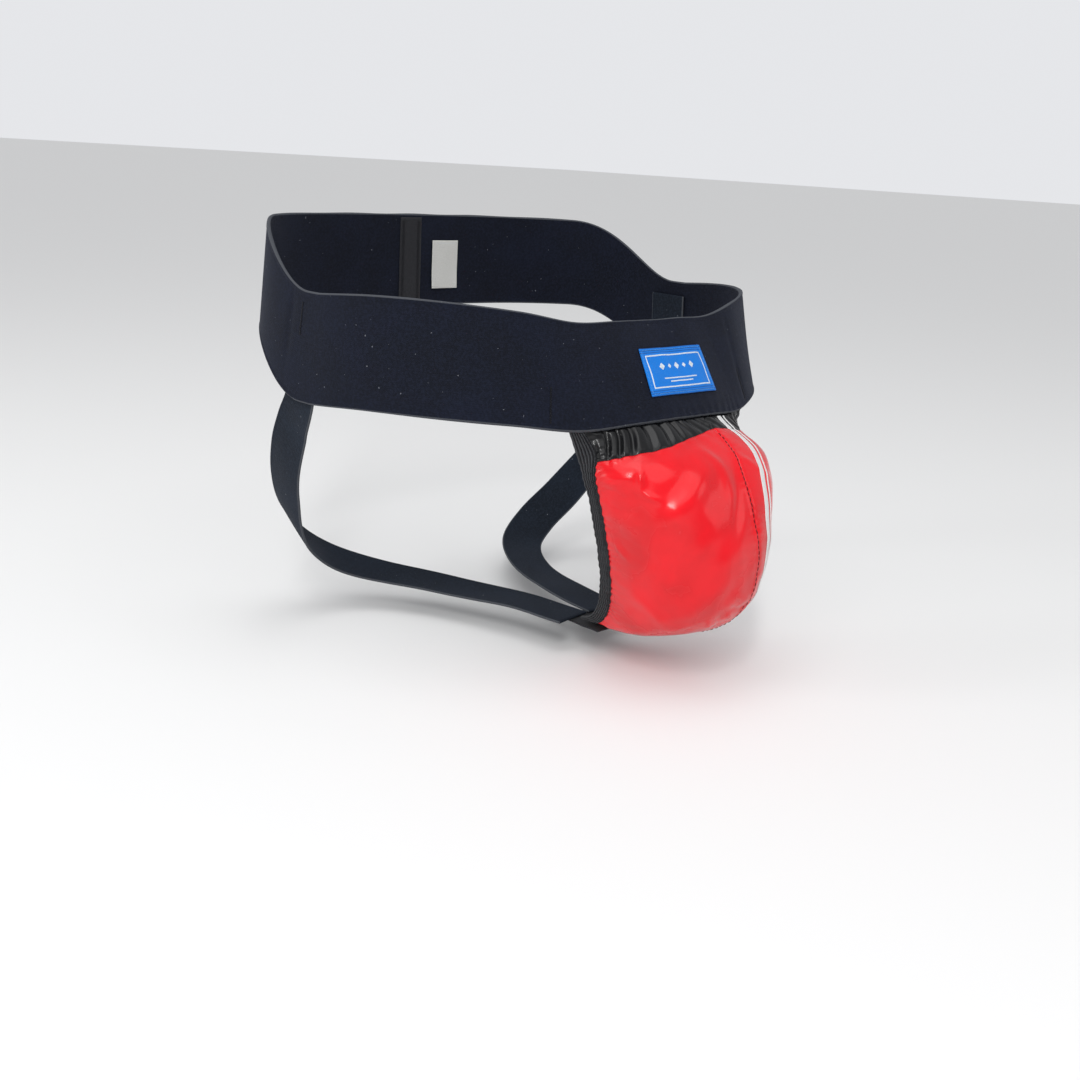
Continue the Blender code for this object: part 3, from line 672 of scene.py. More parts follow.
class Finish:
    """A node material and short ways to add to it."""

    def __init__(self, name):
        self.material = bpy.data.materials.new(name)
        self.material.use_nodes = True
        self.tree = self.material.node_tree
        self.shader = self.tree.nodes["Principled BSDF"]
        chart = self.add("ShaderNodeUVMap", uv_map="UVMap")
        split = self.add("ShaderNodeSeparateXYZ", {"Vector": chart.outputs["UV"]})
        self.u, self.v = split.outputs["X"], split.outputs["Y"]
        self.place = self.add("ShaderNodeTexCoord").outputs["Object"]

    def add(self, kind, values=None, **settings):
        node = self.tree.nodes.new(kind)
        for key, value in settings.items():
            setattr(node, key, value)
        for key, value in (values or {}).items():
            self.put(node.inputs[key], value)
        return node

    def put(self, socket, value):
        if isinstance(value, bpy.types.NodeSocket):
            self.tree.links.new(value, socket)
        elif isinstance(value, tuple) and len(value) == 3 and socket.type == "RGBA":
            socket.default_value = (*value, 1.0)
        else:
            socket.default_value = value

    def calc(self, operation, a, b=0.0, c=0.0):
        node = self.add("ShaderNodeMath", {0: a, 1: b, 2: c}, operation=operation)
        return node.outputs[0]

    def lines(self, coordinate, pitch):
        """Even waves from -1 to 1 across a coordinate, one to each pitch."""
        return self.calc("SINE", self.calc("MULTIPLY", coordinate, 2 * math.pi / pitch))

    def noise(self, scale, detail=3.0, distortion=0.0):
        values = {"Vector": self.place, "Scale": scale, "Detail": detail, "Distortion": distortion}
        node = self.add("ShaderNodeTexNoise", values)
        return node.outputs["Fac"]

    def ramp(self, value, low, high):
        values = {"Value": value, "From Min": low, "From Max": high}
        node = self.add("ShaderNodeMapRange", values, interpolation_type="SMOOTHSTEP")
        return node.outputs["Result"]

    def mix(self, share, a, b):
        node = self.add("ShaderNodeMix", {0: share, 6: a, 7: b}, data_type="RGBA")
        return node.outputs[2]

    def colour(self, value):
        self.put(self.shader.inputs["Base Color"], value)

    def rough(self, value, low, high):
        node = self.add("ShaderNodeMapRange", {"Value": value, "To Min": low, "To Max": high})
        self.put(self.shader.inputs["Roughness"], node.outputs["Result"])

    def bump(self, height, distance, strength=1.0, under=None):
        values = {"Height": height, "Distance": distance, "Strength": strength}
        if under is not None:
            values["Normal"] = under
        return self.add("ShaderNodeBump", values).outputs["Normal"]

    def normal(self, value):
        self.put(self.shader.inputs["Normal"], value)

    def gloss(self, **values):
        for key, value in values.items():
            socket = self.shader.inputs[key.replace("_", " ")]
            self.put(socket, value)


def woven_elastic(name, dark, light, width):
    """Flat woven elastic: ribs along it, fine picks across, a painted highlight along each selvedge and a
    little lint.
    """
    f = Finish(name)
    ribs = f.lines(f.v, 1.25 * MM)
    picks = f.lines(f.u, 0.62 * MM)
    weave = f.calc("MULTIPLY", ribs, picks)
    fuzz = f.noise(2600.0, 2.0)
    raised = f.calc("ADD", f.calc("MULTIPLY", ribs, 0.35), fuzz)
    height = f.calc("ADD", f.calc("MULTIPLY", weave, 0.5), raised)
    f.normal(f.bump(height, 0.10 * MM, 0.75))
    wear = f.noise(34.0, 4.0)
    shade = f.calc("MULTIPLY_ADD", weave, 0.16, f.calc("MULTIPLY", f.ramp(wear, 0.3, 0.75), 0.45))
    mottle = f.ramp(f.noise(650.0, 2.0), 0.38, 0.66)
    shade = f.calc("MULTIPLY_ADD", mottle, 0.55, shade)
    body = f.mix(f.calc("MULTIPLY_ADD", fuzz, 0.25, shade), dark, light)
    edge = f.calc("ABSOLUTE", f.calc("SUBTRACT", f.v, width / 2))
    # Painted highlight: a paler grey line along each selvedge, where light would catch the corded edge.
    painted_selvedge_highlight = f.ramp(edge, width / 2 - 0.55 * MM, width / 2 - 0.1 * MM)
    body = f.mix(f.calc("MULTIPLY", painted_selvedge_highlight, 0.8), body, (0.075, 0.080, 0.090))
    lint = f.ramp(f.noise(420.0, 1.0), 0.775, 0.80)
    f.colour(f.mix(f.calc("MULTIPLY", lint, 0.5), body, (0.22, 0.23, 0.26)))
    f.rough(wear, 0.72, 0.92)
    f.gloss(Sheen_Weight=0.06, Sheen_Roughness=0.45, Sheen_Tint=(0.55, 0.60, 0.78), Specular_IOR_Level=0.16)
    return f.material


def cire_nylon(name, bright, deep, coat):
    """Glazed nylon taffeta: a hard shine over a very fine weave, with small creases and rubbed patches."""
    f = Finish(name)
    creases = f.noise(70.0, 2.0, 0.2)
    weave = f.calc("MULTIPLY", f.lines(f.u, 0.42 * MM), f.lines(f.v, 0.42 * MM))
    fine = f.bump(weave, 0.006 * MM, 0.5)
    small = f.bump(f.noise(420.0, 3.0, 0.4), 0.05 * MM, 0.35, fine)
    f.normal(f.bump(creases, 0.45 * MM, 0.3, small))
    worn = f.noise(26.0, 4.0, 0.3)
    body = f.mix(f.ramp(worn, 0.32, 0.72), bright, deep)
    f.colour(f.mix(f.calc("MULTIPLY", f.calc("ADD", weave, 1.0), 0.06), body, deep))
    f.rough(f.ramp(worn, 0.35, 0.7), 0.20, 0.32)
    f.gloss(Coat_Weight=coat, Coat_Roughness=0.16, Specular_IOR_Level=0.26)
    return f.material


def ribbed_knit(name, dark, light, rib):
    """Narrow gathering elastic: cords along it under a knitted cover."""
    f = Finish(name)
    ribs = f.lines(f.v, rib)
    loops = f.lines(f.calc("ADD", f.u, f.calc("MULTIPLY", f.v, 0.6)), 0.75 * MM)
    fuzz = f.noise(2200.0, 2.0)
    height = f.calc("MULTIPLY_ADD", loops, 0.45, f.calc("MULTIPLY_ADD", ribs, 0.5, fuzz))
    f.normal(f.bump(height, 0.09 * MM, 0.8))
    share = f.calc("MULTIPLY_ADD", loops, 0.16, f.calc("MULTIPLY", fuzz, 0.6))
    share = f.calc("MULTIPLY_ADD", ribs, 0.22, share)
    f.colour(f.mix(f.ramp(share, 0.05, 0.62), dark, light))
    f.rough(fuzz, 0.55, 0.85)
    f.gloss(Sheen_Weight=0.05, Sheen_Roughness=0.5, Specular_IOR_Level=0.18)
    return f.material


def sewing_thread(name, dark, light, roughness):
    """Twisted polyester thread."""
    f = Finish(name)
    twist = f.lines(f.calc("MULTIPLY_ADD", f.v, 0.7 * MM, f.u), 0.7 * MM)
    f.normal(f.bump(twist, 0.05 * MM, 0.8))
    f.colour(f.mix(f.ramp(f.calc("MULTIPLY_ADD", f.noise(700.0), 1.0, twist), -0.4, 1.3), dark, light))
    f.rough(f.noise(300.0), roughness, roughness + 0.15)
    f.gloss(Sheen_Weight=0.05, Specular_IOR_Level=0.25)
    return f.material


def woven_satin(name, body, deep, pale, band, tall):
    """A woven damask label: fine weft lines, and darker woven stripes along its two long edges."""
    f = Finish(name)
    weft = f.lines(f.v, 0.34 * MM)
    warp = f.lines(f.u, 0.28 * MM)
    fuzz = f.noise(1500.0, 2.0)
    f.normal(f.bump(f.calc("MULTIPLY_ADD", warp, 0.4, f.calc("ADD", weft, fuzz)), 0.035 * MM, 0.8))
    edge = f.calc("ABSOLUTE", f.calc("SUBTRACT", f.v, tall / 2))
    inside = f.ramp(edge, tall / 2 - band, tall / 2 - band + 0.3 * MM)
    stripes = f.ramp(f.lines(edge, band * 0.42), -0.3, 0.3)
    shade = f.mix(f.calc("MULTIPLY", f.calc("MULTIPLY", inside, stripes), 0.85), body, deep)
    flecks = f.calc("MULTIPLY_ADD", weft, 0.10, f.calc("MULTIPLY", fuzz, 0.22))
    f.colour(f.mix(flecks, shade, pale))
    f.rough(fuzz, 0.42, 0.62)
    f.gloss(Sheen_Weight=0.05, Sheen_Roughness=0.4, Specular_IOR_Level=0.25)
    return f.material


def twill(name, dark, light, pitch, slant=1.0):
    """Cotton or polyester twill tape: diagonal lines in soft fuzzy yarn."""
    f = Finish(name)
    diagonal = f.lines(f.calc("MULTIPLY_ADD", f.v, slant, f.u), pitch)
    cross = f.lines(f.v, pitch * 0.6)
    fuzz = f.noise(1800.0, 2.0)
    f.normal(f.bump(f.calc("MULTIPLY_ADD", cross, 0.3, f.calc("ADD", diagonal, fuzz)), 0.10 * MM, 0.8))
    share = f.calc("MULTIPLY_ADD", diagonal, 0.25, f.calc("MULTIPLY", fuzz, 0.9))
    f.colour(f.mix(f.ramp(share, 0.1, 0.8), dark, light))
    f.rough(fuzz, 0.7, 0.9)
    f.gloss(Sheen_Weight=0.05, Sheen_Roughness=0.5, Specular_IOR_Level=0.2)
    return f.material


def net_knit(name, dark, light, pitch):
    """Knitted lining with rows of small eyelets."""
    f = Finish(name)
    rows = f.lines(f.v, pitch)
    loops = f.lines(f.calc("MULTIPLY_ADD", f.calc("SIGN", rows), pitch / 4, f.u), pitch)
    eyelet = f.ramp(f.calc("MULTIPLY", f.calc("ABSOLUTE", rows), loops), 0.25, 0.75)
    fuzz = f.noise(1600.0, 2.0)
    f.normal(f.bump(f.calc("SUBTRACT", fuzz, eyelet), 0.22 * MM, 0.9))
    yarn = f.mix(f.calc("MULTIPLY", fuzz, 0.8), light, dark)
    f.colour(f.mix(eyelet, yarn, tuple(0.25 * c for c in dark)))
    f.rough(fuzz, 0.75, 0.95)
    f.gloss(Sheen_Weight=0.05, Sheen_Roughness=0.5, Specular_IOR_Level=0.2)
    return f.material


def moulded(name, bright, deep, low, high, grain, depth):
    """Moulded plastic or rubber: a fine grain, scuffs and a little uneven colour."""
    f = Finish(name)
    texture = f.noise(grain, 4.0)
    scuff = f.noise(60.0, 6.0, 1.5)
    f.normal(f.bump(texture, depth, 0.6, f.bump(scuff, 0.2 * MM, 0.15)))
    f.colour(f.mix(f.ramp(scuff, 0.35, 0.7), bright, deep))
    f.rough(f.ramp(scuff, 0.4, 0.65), low, high)
    return f.material


def cell_foam(name, bright, deep):
    """Laminated foam: open cells under a brushed face."""
    f = Finish(name)
    cells = f.add("ShaderNodeTexVoronoi", {"Vector": f.place, "Scale": 900.0}).outputs["Distance"]
    fuzz = f.noise(1400.0, 3.0)
    f.normal(f.bump(f.calc("ADD", cells, fuzz), 0.25 * MM, 0.7))
    f.colour(f.mix(f.ramp(f.calc("MULTIPLY_ADD", fuzz, 0.5, cells), 0.2, 0.9), deep, bright))
    f.rough(fuzz, 0.85, 0.98)
    f.gloss(Sheen_Weight=0.4, Sheen_Roughness=0.6)
    return f.material


BAND_ELASTIC = woven_elastic("waistband_elastic", (0.002, 0.003, 0.0075), (0.0065, 0.009, 0.02), BAND_WIDTH)
STRAP_ELASTIC = woven_elastic("strap_elastic", (0.0035, 0.006, 0.011), (0.011, 0.0165, 0.027), STRAP_WIDTH)
RED_NYLON = cire_nylon("pouch_red_nylon", (0.80, 0.0025, 0.010), (0.62, 0.0015, 0.006), 0.36)
BLACK_NYLON = cire_nylon("yoke_black_nylon", (0.006, 0.0065, 0.0075), (0.0022, 0.0022, 0.003), 0.22)
LEG_RIB = ribbed_knit("leg_elastic_rib", (0.003, 0.003, 0.004), (0.060, 0.062, 0.068), 1.83 * MM)
BLACK_THREAD = sewing_thread("black_thread", (0.002, 0.002, 0.0035), (0.010, 0.011, 0.016), 0.6)
BLUE_THREAD = sewing_thread("blue_thread", (0.02, 0.16, 0.48), (0.16, 0.42, 0.85), 0.4)
WHITE_THREAD = sewing_thread("white_thread", (0.62, 0.66, 0.70), (0.90, 0.92, 0.94), 0.45)
WHITE_TAPE = twill("white_stripe_tape", (0.66, 0.66, 0.66), (0.90, 0.90, 0.89), 0.5 * MM, 0.0)
BLACK_TWILL = twill("black_twill_tape", (0.006, 0.006, 0.008), (0.035, 0.036, 0.042), 1.1 * MM)
WEBBING = twill("crotch_patch_webbing", (0.005, 0.005, 0.006), (0.032, 0.033, 0.038), 1.6 * MM, 0.8)
LINING = net_knit("lining_knit", (0.010, 0.010, 0.011), (0.045, 0.045, 0.048), 1.7 * MM)
SATIN = twill("care_label_satin", (0.66, 0.66, 0.63), (0.86, 0.86, 0.83), 0.3 * MM, 0.0)
PLASTIC = moulded("cup_plastic", (0.70, 0.71, 0.70), (0.60, 0.61, 0.60), 0.32, 0.5, 900.0, 0.02 * MM)
RUBBER = moulded("cup_rim_rubber", (0.022, 0.022, 0.024), (0.012, 0.012, 0.013), 0.5, 0.7, 1500.0, 0.05 * MM)
FOAM = cell_foam("cup_liner_foam", (0.15, 0.15, 0.165), (0.06, 0.06, 0.066))

# ---------------------------------------------------------------- waistband, straps and what is sewn to them


def graded_heights(middle_count):
    """Heights across the band, close together at the corded edges."""
    low = LOWER_EDGE + EDGE_STEPS
    middle = np.linspace(low[-1], -low[-1], middle_count)[1:-1]
    return np.concatenate((low, middle, -low[::-1]))


def band_patch(name, angles, heights, outer, inner, material):
    """A thin piece over the band's skin, from one distance off it to another."""
    angle, height = np.meshgrid(angles, heights)
    skin = band_skin(angle, height)
    facing = normals(band_surface, angle, height)
    uv = np.stack(((angle - angles[0]) * BAND_ROUND, (height - heights[0]) * BAND_WIDTH), axis=-1)
    outer = np.broadcast_to(outer, angle.shape)[..., None]
    inner = np.broadcast_to(inner, angle.shape)[..., None]
    return thick(name, skin + outer * facing, skin + inner * facing, uv, material)


def make_waistband():
    angles = np.linspace(-math.pi, math.pi, BAND_COLUMNS, endpoint=False)
    angle, height = np.meshgrid(angles, graded_heights(22))
    skin = band_skin(angle, height)
    facing = normals(band_surface, angle, height)
    corded = np.exp(-(((0.5 - np.abs(height)) * BAND_WIDTH - 0.5 * SELVEDGE) / (0.6 * SELVEDGE)) ** 2)
    inside = band_surface(angle, height) - (BAND_THICKNESS + 0.1 * MM * corded)[..., None] * facing
    uv = np.stack(((angle + math.pi) * BAND_ROUND, (height + 0.5) * BAND_WIDTH), axis=-1)
    band = thick("waistband", skin, inside, uv, BAND_ELASTIC, ring=True)
    settle(band, WAIST, "waistband_elastic", "waistband")
    return band


def line_on_band(angles, heights, off):
    """A line over the band's skin, and the way the band faces along it."""
    facing = normals(band_surface, angles, heights)
    return band_skin(angles, heights) + off * facing, facing


def make_bartacks():
    made = []
    for word, side in (("right", -1), ("left", 1)):
        for kind, angle, heights in (
            ("front", side * BARTACK_ANGLE, BARTACK_HEIGHTS),
            ("strap", side * STRAP_ANGLE, STRAP_BARTACK_HEIGHTS),
        ):
            height = np.linspace(*heights, 60)
            points, facing = line_on_band(np.full(60, angle), height, 0.22 * MM)
            name = f"bartack_{kind}_{word}"
            path = zigzag(points, facing, 1.3 * MM, 1.0 * MM, 0.02 * MM)
            tack = threads(name + "_stitches", path, THREAD_RADIUS, BLACK_THREAD)
            made.append(settle(tack, WAIST, "black_thread", name))
    return made


def label_place(across, above):
    """The band's angle and height at fractions of the label's width and its height."""
    angle = LABEL_ANGLES[0] + (LABEL_ANGLES[1] - LABEL_ANGLES[0]) * across
    return angle, LABEL_HEIGHTS[0] + (LABEL_HEIGHTS[1] - LABEL_HEIGHTS[0]) * above


def label_lift(across, above):
    """How far the label's face stands off the band, at fractions of its width and its height."""
    to_side = np.minimum(across, 1 - across) * LABEL_WIDE
    to_end = np.minimum(above, 1 - above) * LABEL_TALL
    fold = 0.22 * MM * smoothstep(3.4 * MM, 2.6 * MM, to_side)
    sewn = -0.18 * MM * np.exp(-(((np.minimum(to_side, to_end) - LABEL_INSET) / (0.7 * MM)) ** 2))
    puff = 0.18 * MM * ripple(across * LABEL_WIDE, above * LABEL_TALL, 31, 0.014)
    inside = smoothstep(0, 5 * MM, np.minimum(to_side, to_end))
    return LABEL_OFF + LABEL_RISE + fold + sewn + puff * inside


def on_label(name, across, above, rise, material):
    """A thin raised figure woven on the label, over a grid of fractions of its width and its height."""
    angle, height = label_place(across, above)
    skin = band_skin(angle, height)
    facing = normals(band_surface, angle, height)
    face = label_lift(across, above)[..., None]
    uv = np.stack((across * LABEL_WIDE, above * LABEL_TALL), axis=-1)
    return thick(name, skin + (face + rise) * facing, skin + (face - 0.1 * MM) * facing, uv, material)


def label_bar(name, x, y, material, rise, columns, rows=5):
    across, above = np.meshgrid(np.linspace(*x, columns), np.linspace(*y, rows))
    return on_label(name, across, above, rise, material)


def joined(name, pieces):
    """The pieces as one mesh object."""
    with bpy.context.temp_override(
        active_object=pieces[0], selected_editable_objects=pieces, selected_objects=pieces, object=pieces[0]
    ):
        bpy.ops.object.join()
    pieces[0].name = name
    pieces[0].data.name = name
    return pieces[0]


def make_front_label():
    angles = np.linspace(*LABEL_ANGLES, 76)
    heights = np.linspace(*LABEL_HEIGHTS, 44)
    angle, height = np.meshgrid(angles, heights)
    across = (angle - LABEL_ANGLES[0]) / (LABEL_ANGLES[1] - LABEL_ANGLES[0])
    above = (height - LABEL_HEIGHTS[0]) / (LABEL_HEIGHTS[1] - LABEL_HEIGHTS[0])
    outer = label_lift(across, above)
    blues = (0.0, 0.17, 0.66), (0.0, 0.055, 0.30), (0.02, 0.33, 0.88)
    blue = woven_satin("front_label_woven", *blues, 3.6 * MM, LABEL_TALL)
    label = band_patch("front_label", angles, heights, outer, LABEL_OFF, blue)
    settle(label, WAIST, "label_blue", "front_label")
    white = twill("label_white_weave", (0.60, 0.70, 0.80), (0.88, 0.93, 0.97), 0.4 * MM, 0.0)
    border = settle(label_frame(white), WAIST, "label_white")
    emblem = settle(label_emblem(white), WAIST, "label_white")
    paths = []
    inset_x, inset_y = LABEL_INSET / LABEL_WIDE, LABEL_INSET / LABEL_TALL
    t = np.linspace(0, 1, 60)
    for (x0, y0), (x1, y1) in sides(rectangle(inset_x, 1 - inset_x, inset_y, 1 - inset_y)):
        line_angles, line_heights = label_place(x0 + (x1 - x0) * t, y0 + (y1 - y0) * t)
        points, facing = line_on_band(line_angles, line_heights, LABEL_OFF + LABEL_RISE + 0.02 * MM)
        paths += running_stitch(points, facing, 2.3 * MM, 1.8 * MM, 0.22 * MM)
    stitches = threads("front_label_stitches", paths, THREAD_RADIUS, BLUE_THREAD)
    settle(stitches, WAIST, "label_blue")
    return label, [border, emblem, stitches]


def label_frame(material):
    """A thin plain frame, whose upright bars stand a hair above the level ones where they cross."""
    whole, tall = (FRAME_SIDE, 1 - FRAME_SIDE), (FRAME_LOW, FRAME_HIGH)
    line = FRAME_LINE * LABEL_WIDE / LABEL_TALL
    upright = 1.1 * FIGURE_RISE
    left = (FRAME_SIDE, FRAME_SIDE + FRAME_LINE)
    right = (1 - FRAME_SIDE - FRAME_LINE, 1 - FRAME_SIDE)
    bars = [
        label_bar("bar_bottom", whole, (FRAME_LOW, FRAME_LOW + line), material, FIGURE_RISE, 60),
        label_bar("bar_top", whole, (FRAME_HIGH - line, FRAME_HIGH), material, FIGURE_RISE, 60),
        label_bar("bar_left", left, tall, material, upright, 5, 40),
        label_bar("bar_right", right, tall, material, upright, 5, 40),
    ]
    return joined("front_label_frame", bars)


def label_emblem(material):
    """A row of small diamonds over two plain bars: a pattern that stands for nothing."""
    pieces = []
    u, v = np.meshgrid(np.linspace(-1, 1, 7), np.linspace(-1, 1, 7))
    for number in range(5):
        half = (1.5 if number % 2 else 2.3) * MM
        across = 0.5 + (number - 2) * 0.115 + half * (u - v) / 2 / LABEL_WIDE
        above = 0.60 + half * (u + v) / 2 / LABEL_TALL
        pieces.append(on_label(f"emblem_diamond_{number}", across, above, FIGURE_RISE, material))
    for number, (half, y) in enumerate(((0.25, 0.335), (0.17, 0.265))):
        x = (0.5 - half, 0.5 + half)
        pieces.append(label_bar(f"emblem_bar_{number}", x, (y, y + 0.022), material, FIGURE_RISE, 24))
    return joined("front_label_emblem", pieces)


def make_back_of_band():
    tape_angles = np.linspace(math.pi - JOIN_TAPE_HALF_ANGLE, math.pi + JOIN_TAPE_HALF_ANGLE, 20)
    tape_heights = np.linspace(*JOIN_TAPE_HEIGHTS, 40)
    inside = -(BAND_THICKNESS + 0.35 * MM)
    under = inside - 0.8 * MM
    tape = band_patch("waistband_join_tape", tape_angles, tape_heights, inside, under, BLACK_TWILL)
    settle(tape, WAIST, "black_twill", "waistband_join_tape")
    paths = []
    for offset in (-0.055, 0.055):
        height = np.linspace(-0.44, 0.44, 60)
        points, facing = line_on_band(np.full(60, math.pi + offset), height, inside - 0.85 * MM)
        paths += zigzag(points, -facing, 2.4 * MM, 1.6 * MM, 0.06 * MM)
    tape_stitches = threads("join_tape_stitches", paths, THREAD_RADIUS, BLACK_THREAD)
    settle(tape_stitches, WAIST, "black_thread")
    care_angles = np.linspace(*CARE_LABEL_ANGLES, 40)
    care_heights = np.linspace(*CARE_LABEL_HEIGHTS, 40)
    angle, height = np.meshgrid(care_angles, care_heights)
    curl = 0.9 * MM * smoothstep(0.0, -0.32, height) ** 2 * (0.7 + 0.3 * np.sin(28 * angle))
    care = band_patch("care_label", care_angles, care_heights, inside - curl, inside - 0.4 * MM - curl, SATIN)
    settle(care, WAIST, "label_white", "care_label")
    line = np.linspace(CARE_LABEL_ANGLES[0] + 0.012, CARE_LABEL_ANGLES[1] - 0.012, 40)
    points, facing = line_on_band(line, np.full(40, CARE_LABEL_HEIGHTS[1] - 0.03), inside - 0.42 * MM)
    paths = running_stitch(points, -facing, 2.4 * MM, 1.9 * MM, 0.2 * MM)
    care_stitches = threads("care_label_stitches", paths, 0.15 * MM, WHITE_THREAD)
    settle(care_stitches, WAIST, "label_white")
    return tape, tape_stitches, care, care_stitches


def make_strap(word, side):
    """A flat elastic strap, corded at its edges, that bows a little across its width."""
    across = np.array([-edge for edge in STRAP_EDGES] + list(reversed(STRAP_EDGES)))
    along = np.linspace(0, 1, 240)
    a, b = np.meshgrid(across, along)
    points = strap_surface(a, b)
    facing = normals(strap_surface, a, b)
    from_edge = (0.5 - np.abs(a)) * STRAP_WIDTH
    cord = np.exp(-((from_edge - 0.8 * MM) / (0.8 * MM)) ** 2)
    free = smoothstep(0.24, 0.34, b) * smoothstep(1.0, 0.9, b)
    bow = 0.7 * MM * (0.25 - a**2) * 4 * free
    wave = 0.25 * MM * ripple(b * STRAP_CHART, a * STRAP_WIDTH, 41, 0.05) * free
    lift = 0.15 * MM * cord + bow + wave
    outer = points + lift[..., None] * facing
    inner = points + (lift - STRAP_THICKNESS - 0.15 * MM * cord)[..., None] * facing
    mirror = np.array((side, 1.0, 1.0))
    outer, inner = outer * mirror, inner * mirror
    uv = np.stack((b * STRAP_CHART, (a + 0.5) * STRAP_WIDTH), axis=-1)
    if side < 0:
        outer, inner, uv = outer[:, ::-1], inner[:, ::-1], uv[:, ::-1]
    strap = thick(f"leg_strap_{word}", outer, inner, uv, STRAP_ELASTIC)
    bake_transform(strap)
    return settle(strap, None, "strap_elastic", f"leg_strap_{word}")


# ---------------------------------------------------------------- pouch


def pouch_grid(low, high, bottom, top, row_count, column_count):
    """A grid of (s, up) between two lines down the pouch and two lines across it, even across its width."""
    t = np.linspace(0, 1, row_count)[:, None]
    c = np.linspace(0, 1, column_count)[None, :]
    t, c = np.broadcast_arrays(t, c)
    s = np.zeros_like(t)
    for _ in range(PATCH_PASSES):
        low_up = bottom(s)
        up = low_up + (top(s) - low_up) * t
        s = s_at(arc_of(low(up)) * (1 - c) + arc_of(high(up)) * c)
    return s, up


def chart(s, up):
    return np.stack((arc_of(s), (up + 1) * POUCH_TALL), axis=-1)


def panel_low(up):
    return -leg_line(up) + SEAM_GAP / row_scale(-leg_line(up), up)


def panel_high(up):
    return -panel_low(up)


def seam_right(up):
    return seam_line(up) - SEAM_GAP / row_scale(seam_line(up), up)


def seam_left(up):
    return seam_line(up) + SEAM_GAP / row_scale(seam_line(up), up)


def crotch_end(s):
    return np.full_like(s, -1.0)


def hem_top(s):
    return np.full_like(s, 1.0)


def above_yoke_seam(s):
    return yoke_line(s) + SEAM_GAP / POUCH_TALL


def below_yoke_seam(s):
    return yoke_line(s) - SEAM_GAP / POUCH_TALL


def band_edge(s):
    return np.zeros_like(s)


def pouch_panel(name, s, up, material, slot):
    skin, facing = pouch_skin(s, up)
    panel = thick(name, skin, skin - FABRIC * facing, chart(s, up), material)
    return settle(panel, HEM, slot, name)


def make_pouch_panels():
    """The two red panels and the two yokes. Most of a yoke's rows go to what shows below the band."""
    right, left = (panel_low, seam_right), (seam_left, panel_high)
    made = []
    for name, lines, columns in (("pouch_front_panel", right, 150), ("pouch_side_panel", left, 100)):
        s, up = pouch_grid(*lines, crotch_end, below_yoke_seam, PANEL_ROWS, columns)
        made.append(pouch_panel(name, s, up, RED_NYLON, "pouch_red"))
    for name, lines, columns in (("pouch_yoke_right", right, 190), ("pouch_yoke_left", left, 130)):
        s, up = pouch_grid(*lines, above_yoke_seam, band_edge, YOKE_ROWS, columns)
        hem_s, hem_up = pouch_grid(*lines, band_edge, hem_top, HEM_ROWS, columns)
        s, up = np.concatenate((s, hem_s[1:])), np.concatenate((up, hem_up[1:]))
        made.append(pouch_panel(name, s, up, BLACK_NYLON, "yoke_black"))
    return made


def make_leg_elastic(word, side):
    """The elastic along a leg edge: six soft cords under a knitted cover, drawn in here and there."""
    heights = np.concatenate((np.linspace(-1, 0, 250), np.linspace(0, 1, 6)[1:]))
    c = np.linspace(0, 1, 67)
    share, up = np.meshgrid(c, heights)
    start = leg_line(up)
    s = start + (EDGE_ROW - start) * (1 - share if side < 0 else share)
    s = side * s
    across = share * LEG_ELASTIC_WIDTH
    ribs = 0.30 * MM * np.sin(2 * math.pi * across / RIB_PITCH)
    down = up * POUCH_TALL
    drawn = 0.30 * MM * ripple(across, down, 51 + int(side), 0.022)
    pucker = 0.22 * MM * np.sin(2 * math.pi * down / PUCKER_PITCH + across / MM * 0.18)
    tuck = smoothstep(0.0, -0.03, up)
    lift = (ribs + drawn + pucker + 0.35 * MM) * tuck
    facing = normals(pouch_surface, s, up)
    points = pouch_surface(s, up)
    outer = points + np.maximum(lift, -0.3 * MM)[..., None] * facing
    inner = points - (1.3 * MM - 0.3 * drawn * tuck)[..., None] * facing
    uv = np.stack((down + POUCH_TALL, across), axis=-1)
    elastic = thick(f"leg_elastic_{word}", outer, inner, uv, LEG_RIB)
    return settle(elastic, HEM, "leg_rib", f"leg_elastic_{word}")


def make_stripes():
    made = []
    for name, (place, width), columns in (
        ("stripe_wide", STRIPE_WIDE, 9),
        ("stripe_narrow", STRIPE_NARROW, 5),
    ):
        up = np.linspace(-STRIPE_ROWS[1], -STRIPE_ROWS[0], 240)[:, None]
        middle = smooth_curve(STRIPE_LINE, -up)[..., 0]
        middle = middle + place / row_scale(middle, up)
        half = width / 2 / row_scale(middle, up)
        across = np.linspace(-1, 1, columns)[None, :]
        s, up = middle + half * across, np.broadcast_to(up, (240, columns))
        skin, facing = pouch_skin(s, up)
        crown = 0.12 * MM * (1 - across**2)
        outer = skin + (0.42 * MM + crown)[..., None] * facing
        inner = skin + 0.06 * MM * facing
        uv = np.stack((np.broadcast_to(across * width / 2, s.shape), up * POUCH_TALL), axis=-1)
        tape = thick(name, outer, inner, uv, WHITE_TAPE)
        made.append(settle(tape, HEM, "stripe_white", name))
    return made


